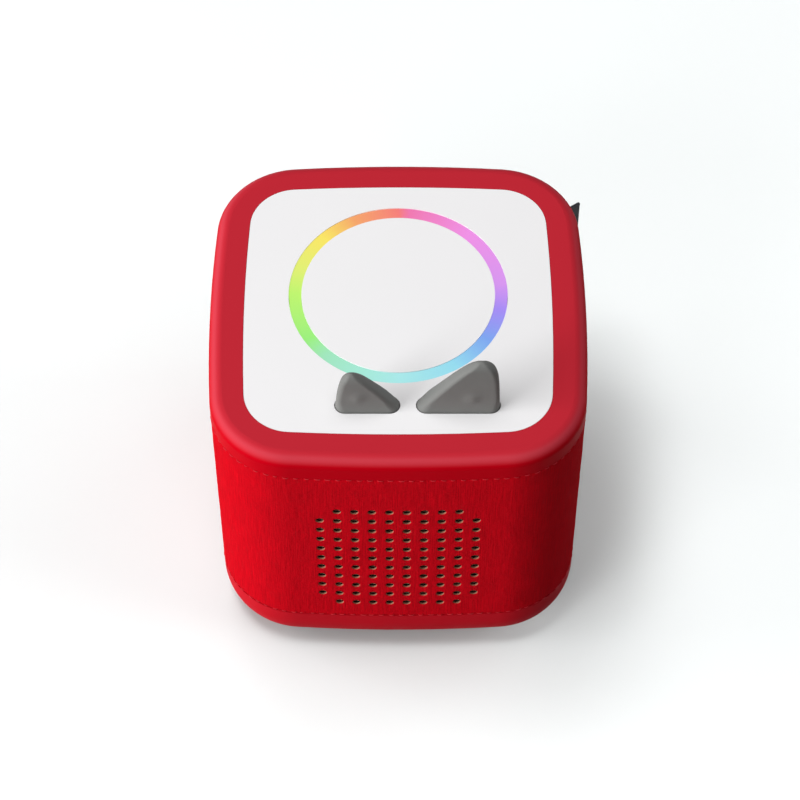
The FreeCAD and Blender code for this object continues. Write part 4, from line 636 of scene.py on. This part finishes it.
def knit_loops(tree, relief, tone):
    """Rows of small V loops in the relief, over fuzz, pebbles and long streaks. The colour is darker
    where the yarns, pebbles and streaks lie low, a painted shade in the hollows."""
    lay = tree.nodes.new("ShaderNodeUVMap")
    lay.uv_map = "lay"
    split = tree.nodes.new("ShaderNodeSeparateXYZ")
    place = tree.nodes.new("ShaderNodeTexCoord")
    drift = tree.nodes.new("ShaderNodeTexNoise")
    drift.inputs["Scale"].default_value = 1 / (sway_width * mm)
    join(tree, (lay.outputs["UV"], split.inputs[0]), (place.outputs["Object"], drift.inputs["Vector"]))
    sway = sums(tree, "MULTIPLY", sums(tree, "SUBTRACT", drift.outputs["Fac"], 0.5), sway_share)
    across = sums(tree, "ADD", sums(tree, "MULTIPLY", split.outputs["X"], 1 / (wale * mm)), sway)
    up = sums(tree, "ADD", sums(tree, "MULTIPLY", split.outputs["Y"], 1 / (course * mm)), sway)
    off_middle = sums(tree, "ABSOLUTE", sums(tree, "SUBTRACT", sums(tree, "FRACT", across), 0.5))
    off_leg = sums(tree, "MULTIPLY", sums(tree, "ABSOLUTE", sums(tree, "SUBTRACT", off_middle, 0.25)), 4)
    leg = sums(tree, "SUBTRACT", 1, sums(tree, "MULTIPLY", off_leg, off_leg))
    along_leg = sums(tree, "ADD", up, sums(tree, "MULTIPLY", off_middle, lean))
    loop = sums(tree, "ABSOLUTE", sums(tree, "SINE", sums(tree, "MULTIPLY", along_leg, math.pi)))
    yarn = sums(tree, "MULTIPLY", leg, sums(tree, "ADD", 0.5, sums(tree, "MULTIPLY", loop, 0.5)))
    fuzz = relief.inputs["Height"].links[0].from_socket
    pebble = tree.nodes.new("ShaderNodeTexNoise")
    pebble.inputs["Scale"].default_value = 1 / (pebble_width * mm)
    pebble.inputs["Detail"].default_value = 2
    join(tree, (place.outputs["Object"], pebble.inputs["Vector"]))
    streak = tree.nodes.new("ShaderNodeTexNoise")
    streak.inputs["Scale"].default_value = 1
    streak.inputs["Detail"].default_value = 1
    spot = tree.nodes.new("ShaderNodeCombineXYZ")
    join(tree, (sums(tree, "MULTIPLY", split.outputs["X"], 1 / (streak_width * mm)), spot.inputs["X"]),
         (sums(tree, "MULTIPLY", split.outputs["Y"], 1 / (streak_run * mm)), spot.inputs["Y"]),
         (spot.outputs[0], streak.inputs["Vector"]))

    def mixed(shares):
        """Yarn, fuzz, pebbles and streaks, added up in these shares."""
        heights = (yarn, fuzz, pebble.outputs["Fac"], streak.outputs["Fac"])
        parts = [sums(tree, "MULTIPLY", height, share) for height, share in zip(heights, shares)]
        return sums(tree, "ADD", sums(tree, "ADD", *parts[:2]), sums(tree, "ADD", *parts[2:]))

    join(tree, (mixed(relief_shares), relief.inputs["Height"]))
    relief.inputs["Distance"].default_value = relief_depth * mm
    # Painted shade: the jersey's tone is dimmed where the relief lies low.
    painted_hollow_shade = tree.nodes.new("ShaderNodeMix")
    painted_hollow_shade.data_type = "RGBA"
    painted_hollow_shade.blend_type = "MULTIPLY"
    painted_hollow_shade.inputs[0].default_value = 1.0
    dim = tree.nodes.new("ShaderNodeMapRange")
    for socket, value in zip(("From Min", "From Max", "To Min", "To Max"), hollow_shade_range + hollow_shade_dim):
        dim.inputs[socket].default_value = value
    join(tree, (mixed(hollow_shade_shares), dim.inputs["Value"]), (tone.outputs[2], painted_hollow_shade.inputs[6]),
         (dim.outputs[0], painted_hollow_shade.inputs[7]),
         (painted_hollow_shade.outputs[2], tree.nodes["Principled BSDF"].inputs["Base Color"]))


knit_loops(tree, relief, tone)
points, faces, lay = shell((knit_alongs, knit_heights, True), knit_swell, knit_thick, knit_holes)
front_points = len(points) // 2
knit = mesh_piece("knit_band", points, faces, jersey)
lay_map(knit, lay)
# The holes' walls: from 0.1 mm in, a beige like the grille's, reddened and dimmed as a painted bounce from the
# jersey and a painted shade. The faces deeper in, and on the band's other cut edges, are near black, a painted
# shade inside the holes.
cut_edge_painted_bounce = finish("cut_edge_painted_bounce", shade(156, 112, 90), 0.9, gloss=0.1, mottle=0.1, patch=1 * mm, skin=0.2 * mm)[0]
cut_depth_painted_shade = finish("cut_depth_painted_shade", shade(16, 13, 12), 0.9, gloss=0.1, mottle=0.1, patch=1 * mm, skin=0.2 * mm)[0]
knit.data.materials.append(cut_edge_painted_bounce)
knit.data.materials.append(cut_depth_painted_shade)
painted_bounce_slot, painted_shade_slot = 1, 2
for face in knit.data.polygons:
    if min(face.vertices) < front_points <= max(face.vertices):
        face.material_index = painted_shade_slot
    elif min(lay[point][2] for point in face.vertices) >= hole_lip[-2][1]:
        face.material_index = painted_bounce_slot
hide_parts("fabric_band")

# Hems. The band's top and bottom edges are turned in under the rims and topstitched right round, and
# each stitch pulls a small pucker into the jersey.

seam_low, seam_high, low_line, high_line = 21.7, 103.8, 22.25, 103.5
stitches, stitch_share = 131, 0.62
stitch_run = round_body / stitches
hem_steps, hem_rise = 8, 0.15
tuck_depth, tuck_reach, press_depth, press_reach = 0.45, 0.4, 0.1, 0.5
pull_depth, pull_spread, puff_height, puff_off, puff_reach = 0.3, 0.13, 0.06, 0.8, 0.5


def hem_face(stitch_level, edge_level):
    """How deep a hem's face lies: tucked in at its edge, pressed along the stitches, and pulled in at
    each needle hole."""
    def face(along, height):
        step = (along / stitch_run) % 1
        off_line = height - stitch_level
        tuck = tuck_depth * max(0, 1 - abs(height - edge_level) / tuck_reach) ** 2
        press = press_depth * math.exp(-(off_line / press_reach) ** 2)
        pulls = 0.0
        for end in (0, stitch_share, 1):
            gap = (step - end) * stitch_run
            pulls += pull_depth * math.exp(-(off_line ** 2 + gap ** 2) / pull_spread)
        puff = puff_height * math.sin(math.pi * min(1, step / stitch_share))
        puff *= math.exp(-((abs(off_line) - puff_off) / puff_reach) ** 2)
        return tuck + press + pulls - puff
    return face


hem_alongs = np.linspace(0, round_body, stitches * hem_steps + 1).tolist()[:-1]
for name, low, high, stitch_level, edge_level in (("top_hem", knit_high, seam_high, high_line, seam_high),
                                                 ("bottom_hem", seam_low, knit_low, low_line, seam_low)):
    points, faces, lay = shell((hem_alongs, even(low, high, hem_rise), True), hem_face(stitch_level, edge_level),
                               knit_thick)
    hem = mesh_piece(name, points, faces, jersey)
    lay_map(hem, lay)

# Stitches. A twisted polyester thread, a shade lighter than the jersey, sewn by machine through the
# hems. The lower row is a little less even.

thread_half, thread_proud, needle_depth, thread_taper = 0.12, 0.04, 0.75, 0.35
thread_rings, thread_sides, rise_share = 9, 6, 0.6
needle = np.random.default_rng(11)
thread_red = finish("thread", shade(202, 44, 54), 0.7, gloss=0.15, mottle=0.1, patch=1.2 * mm, skin=0.12 * mm,
                    skin_depth=0.05 * mm)[0]
for name, level, scatter in (("top_stitches", high_line, 0.13), ("bottom_stitches", low_line, 0.15)):
    points, faces = [], []
    for number in range(stitches):
        start = number * stitch_run + needle.normal(0, scatter)
        run = stitch_share * stitch_run * (1 + needle.normal(0, scatter))
        tilt = needle.normal(0, scatter)
        height = level + needle.normal(0, scatter * rise_share)
        first = len(points)
        for ring in range(thread_rings):
            share = ring / (thread_rings - 1)
            from_middle = abs(2 * share - 1)
            sink = from_middle ** 5 * needle_depth - thread_proud
            radius = thread_half * (1 - thread_taper * from_middle ** 4)
            x, y = on_body(start + run * share, sink)
            out_x, out_y = on_body(start + run * share, sink - 1)
            for side in range(thread_sides):
                angle = side * 2 * math.pi / thread_sides
                out = radius * math.sin(angle)
                points.append((x + out * (out_x - x), y + out * (out_y - y),
                               height + tilt * (share - 0.5) + radius * math.cos(angle)))
        last = first + (thread_rings - 1) * thread_sides
        faces += [(base + side, base + (side + 1) % thread_sides,
                   base + thread_sides + (side + 1) % thread_sides, base + thread_sides + side)
                  for base in range(first, last, thread_sides) for side in range(thread_sides)]
        faces += [tuple(range(first, first + thread_sides))[::-1], tuple(range(last, last + thread_sides))]
    row = mesh_piece(name, points, faces, thread_red)

# Pull tab. A short loop of black woven ribbon, folded in half and sewn into a slit in the knit at the
# rear right corner, under the rim.

tab_turn, tab_root, tab_tip, tab_low, tab_high = math.radians(34.7), 24.9, 33.9, 84.1, 101.9
ribbon_half, fold, fold_steps = 0.21, 0.29, 8
edge_cut, edge_round, edge_thin, selvage, selvage_thick, rib_share = 0.05, 0.25, 0.55, (0.1, 1.3), 1.18, 0.1
leaf, tab_rows = np.linspace(0, 1, 26), 60
straight = tab_tip - ribbon_half - fold - tab_root
path = ([(tab_root + straight * share, fold) for share in leaf]
        + [(tab_root + straight + fold * math.sin(turn), fold * math.cos(turn))
           for turn in np.linspace(0, math.pi, fold_steps + 1)[1:-1]]
        + [(tab_root + straight * (1 - share), -fold) for share in leaf])
tab_levels = [tab_low, tab_low + edge_cut, *np.linspace(tab_low + edge_round, tab_high - edge_round, tab_rows),
              tab_high - edge_cut, tab_high]
points = []
for level in tab_levels:
    edge = min(level - tab_low, tab_high - level)
    thick = ribbon_half * (edge_thin + (1 - edge_thin) * min(1, edge / edge_round) ** 0.5)
    if selvage[0] < edge < selvage[1]:
        thick *= selvage_thick
    for side, steps in ((1, range(len(path))), (-1, range(len(path))[::-1])):
        for step in steps:
            before, after = path[max(0, step - 1)], path[min(len(path) - 1, step + 1)]
            run = math.hypot(after[0] - before[0], after[1] - before[1])
            off = side * thick * (1 + rib_share * (-1) ** step) / run
            out = path[step][0] - off * (after[1] - before[1])
            across = path[step][1] + off * (after[0] - before[0])
            points.append((corner_middle + out * math.cos(tab_turn) - across * math.sin(tab_turn),
                           corner_middle + out * math.sin(tab_turn) + across * math.cos(tab_turn), level))
count = 2 * len(path)
faces = [(row * count + step, row * count + (step + 1) % count, (row + 1) * count + (step + 1) % count,
          (row + 1) * count + step) for row in range(len(tab_levels) - 1) for step in range(count)]
top_row = (len(tab_levels) - 1) * count
for step in range(len(path) - 1):
    cap = step, step + 1, count - 2 - step, count - 1 - step
    faces += [cap[::-1], tuple(top_row + point for point in cap)]
ribbon_black = finish("woven_ribbon", shade(52, 53, 57), 0.7, gloss=0.35, mottle=0.1, patch=3 * mm,
                      skin=0.18 * mm, skin_depth=0.06 * mm)[0]
tab = mesh_piece("pull_tab", points, faces, ribbon_black)
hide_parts("side_tab")

# Top panel and figure plate. White satin plastic, both flush with the rim. The panel clips into the
# top frame, and the round plate inside the light ring is where a figure stands.

panel_white = shade(242, 241, 242)
satin_white = finish("satin_white", panel_white, 0.5, gloss=0.12, mottle=0.008, patch=30 * mm, skin=0.25 * mm,
                     skin_depth=0.006 * mm)[0]
dress(satin_white, "top_panel", "figure_plate")

# Light ring. A frosted clear ring, lit from below by a circle of small lamps, whose colours run
# through the whole rainbow and blend into each other. Its stops go from the left over the front, the
# right and the rear.

ring_middle, ring_blur, blur_share, glow, dim_share = 5.3, 5, 0.012, 0.85, 0.86
frosted = bpy.data.materials.new("frosted_ring")
frosted.use_nodes = True
tree = frosted.node_tree
shader = tree.nodes["Principled BSDF"]
shader.inputs["Roughness"].default_value = 0.4
shader.inputs["Specular IOR Level"].default_value = 0.12
shader.inputs["Emission Strength"].default_value = glow
place = tree.nodes.new("ShaderNodeTexCoord")
split = tree.nodes.new("ShaderNodeSeparateXYZ")
join(tree, (place.outputs["Object"], split.inputs[0]))
bearing = sums(tree, "ARCTAN2", sums(tree, "SUBTRACT", split.outputs["Y"], ring_middle * mm), split.outputs["X"])
blur = tree.nodes.new("ShaderNodeTexNoise")
blur.inputs["Scale"].default_value = 1 / (ring_blur * mm)
join(tree, (place.outputs["Object"], blur.inputs["Vector"]))
turn = sums(tree, "ADD", sums(tree, "DIVIDE", bearing, 2 * math.pi), 0.5)
shift = sums(tree, "MULTIPLY", sums(tree, "SUBTRACT", blur.outputs["Fac"], 0.5), blur_share)
turn = sums(tree, "ADD", turn, shift)
rainbow = tree.nodes.new("ShaderNodeValToRGB")
rainbow.color_ramp.interpolation = "LINEAR"
glow_stops = [(0.0, (190, 245, 110)), (0.09, (155, 240, 125)), (0.13, (160, 230, 190)), (0.25, (170, 235, 235)),
              (0.34, (150, 220, 240)), (0.41, (125, 165, 240)), (0.47, (165, 140, 245)), (0.52, (215, 150, 240)),
              (0.63, (240, 145, 230)), (0.735, (240, 120, 175)), (0.75, (245, 125, 120)), (0.82, (245, 165, 105)),
              (0.88, (250, 230, 100)), (0.95, (225, 240, 115)), (1.0, (190, 245, 110))]
ramp = rainbow.color_ramp.elements
while len(ramp) < len(glow_stops):
    ramp.new(0.5)
for stop, (where, colour) in zip(ramp, glow_stops):
    stop.position = where
    stop.color = shade(*colour)
dimmed = tree.nodes.new("ShaderNodeMix")
dimmed.data_type = "RGBA"
dimmed.inputs[0].default_value = dim_share
dimmed.inputs[7].default_value = (0, 0, 0, 1)
join(tree, (turn, rainbow.inputs["Fac"]), (rainbow.outputs["Color"], shader.inputs["Emission Color"]),
     (rainbow.outputs["Color"], dimmed.inputs[6]), (dimmed.outputs[2], shader.inputs["Base Color"]))
dress(frosted, "light_ring")

# Ear keys. Two soft rubber ears for volume, a small one and a large one, each with a low pip on its
# front. Each is moulded round a hard blade and stands in a slot of the panel on two springs, which
# shorten as the ear is pressed.

ear_line, ear_foot, ear_half_depth, ear_tip_half, ear_dome = -38.0, -2.6, 2.98, 1.7, 3.4
pip_level, pip_reach, pip_proud = 7.2, 1.5, 0.42
panel_top = 113.0
pocket_half, pocket_half_depth, pocket_top, pocket_corner = 3.55, 0.85, 4.05, 0.1
ear_corner, corner_rise, ear_rise, dome_steps, flat_steps, corner_steps = 1.5, 5, 0.5, 16, 28, 7
ear_grey = shade(114, 115, 113)
ear_rubber = finish("ear_rubber", ear_grey, 0.55, gloss=0.08, mottle=0.05, patch=5 * mm, skin=0.3 * mm,
                    skin_depth=0.012 * mm)[0]


def rounded(outline, passes=3):
    """An open outline with its corners cut off again and again until it runs smoothly."""
    for _ in range(passes):
        cut = [outline[0]]
        for (x, z), (next_x, next_z) in zip(outline, outline[1:]):
            cut += [(x * 0.75 + next_x * 0.25, z * 0.75 + next_z * 0.25),
                    (x * 0.25 + next_x * 0.75, z * 0.25 + next_z * 0.75)]
        outline = cut + [outline[-1]]
    return outline


def plan_ring(start, end, half_depth, corner):
    """A rounded rectangle from above, from its front edge round, always with the same count of points."""
    corner = min(corner, half_depth, abs(end - start) / 2)
    way = 1 if end > start else -1
    near, far, deep = start + way * corner, end - way * corner, half_depth - corner
    ring = [(x, -half_depth) for x in np.linspace(near, far, flat_steps)]
    for x, y, turn in ((far, -deep, -90), (far, deep, 0), (near, deep, 90), (near, -deep, 180)):
        for step in range(1, corner_steps + 1 if turn < 180 else corner_steps):
            angle = math.radians(turn + step * 90 / corner_steps)
            ring.append((x + way * corner * math.cos(angle), y + corner * math.sin(angle)))
        if turn == 0:
            ring += [(x, half_depth) for x in np.linspace(far, near, flat_steps)[1:-1]]
    return ring


def ear_skin(middle, half, side, outline, pip_place):
    """Points and faces of an ear cap: rings one above another, a domed top and a pocket for its blade.

    The outline runs from the steep end over the peak to the far end, as (inset, height) pairs.
    """
    outline = rounded(outline)
    peak = max(range(len(outline)), key=lambda step: outline[step][1])
    steep, far = outline[:peak + 1], outline[peak:][::-1]
    apex = outline[peak][1]
    levels = [ear_foot, ear_foot / 2] + np.linspace(0, apex - ear_dome, round(apex / ear_rise)).tolist()
    levels += [apex - ear_dome * (1 - step / dome_steps) ** 2 for step in range(1, dome_steps)]
    rings = []
    for level in levels:
        start = half - np.interp(level, [z for x, z in steep], [x for x, z in steep])
        end = half - np.interp(level, [z for x, z in far], [x for x, z in far])
        rise = max(0, level)
        over = max(0, level - apex + ear_dome) / ear_dome
        half_depth = (ear_half_depth - (ear_half_depth - ear_tip_half) * rise / apex) * math.sqrt(1 - over ** 2)
        corner = ear_half_depth + (ear_corner - ear_half_depth) * min(1, rise / corner_rise)
        ring = []
        for x, y in plan_ring(side * start, side * end, half_depth, corner):
            if y < 0:
                off = ((x - pip_place) ** 2 + (level - pip_level) ** 2) / pip_reach ** 2
                y -= pip_proud * math.exp(-off / 2)
            ring.append((middle + x, ear_line + y, panel_top + level))
        rings.append(ring)
    for level in (ear_foot, pocket_top):
        inner = [(middle + x, ear_line + y, panel_top + level)
                 for x, y in plan_ring(side * pocket_half, -side * pocket_half, pocket_half_depth, pocket_corner)]
        rings = [inner] + rings
    count = len(rings[0])
    points = [point for ring in rings for point in ring]
    faces = [(row * count + step, row * count + (step + 1) % count,
              (row + 1) * count + (step + 1) % count, (row + 1) * count + step)
             for row in range(len(rings) - 1) for step in range(count)]
    top_ring = (len(rings) - 1) * count
    points.append((sum(x for x, y, z in rings[-1]) / count, ear_line, panel_top + apex))
    faces += [(top_ring + step, top_ring + (step + 1) % count, len(points) - 1) for step in range(count)]
    faces.append(tuple(range(count))[::-1])
    return points, faces if side < 0 else [face[::-1] for face in faces]


small_outline = [(-0.1, 0), (0, 0.8), (1.1, 9.5), (2.3, 14.6), (4.8, 17.3), (8.1, 15.1), (12.8, 9.7),
                 (18.3, 2.4), (19.7, 0.8), (19.9, 0)]
large_outline = [(-0.1, 0), (0, 0.8), (0.3, 10.2), (0.9, 17.0), (2.5, 21.3), (6.2, 23.35), (9.5, 20.9),
                 (13.3, 17.0), (20.0, 8.0), (25.3, 0.9), (25.7, 0)]
for size, middle, half, side, outline, pip_place in (("small", -9.55, 9.9, -1, small_outline, -2.9),
                                                     ("large", 18.65, 12.8, 1, large_outline, 4.2)):
    points, faces = ear_skin(middle, half, side, outline, pip_place)
    ear = mesh_piece(f"{size}_ear_cap", points, faces, ear_rubber, f"{size}_ear_key")
    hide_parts(f"{size}_ear")
key_plastic = finish("key_plastic", shade(200, 200, 198), 0.45, mottle=0.04, skin=0.4 * mm)[0]
dress(key_plastic, "small_ear_plunger", "large_ear_plunger")
spring_wire = finish("spring_wire", shade(150, 150, 152), 0.3, metal=1.0, mottle=0.06, patch=2 * mm,
                     skin=0.3 * mm, skin_depth=0.003 * mm)[0]
for size in ("small", "large"):
    coils = bpy.data.objects.new(f"{size}_ear_coils", nodes[f"{size}_ear_springs"].data.copy())
    coils.data.materials.clear()
    coils.data.materials.append(spring_wire)
    scene.collection.objects.link(coils)
    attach(coils, "player")
    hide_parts(f"{size}_ear_springs")
    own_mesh(coils)

# Socket plate and power key. A dark grey moulded plate in the window at the back, with the charging
# inlet, the headphone socket and a round rubber power key between them.

plate_skin = finish("socket_plate", shade(66, 66, 68), 0.5, gloss=0.4, skin=0.3 * mm, skin_depth=0.02 * mm)[0]
dress(plate_skin, "port_plate")
key_rubber = finish("power_key_rubber", shade(104, 104, 104), 0.6, gloss=0.35, skin=0.35 * mm)[0]
dress(key_rubber, "power_button")
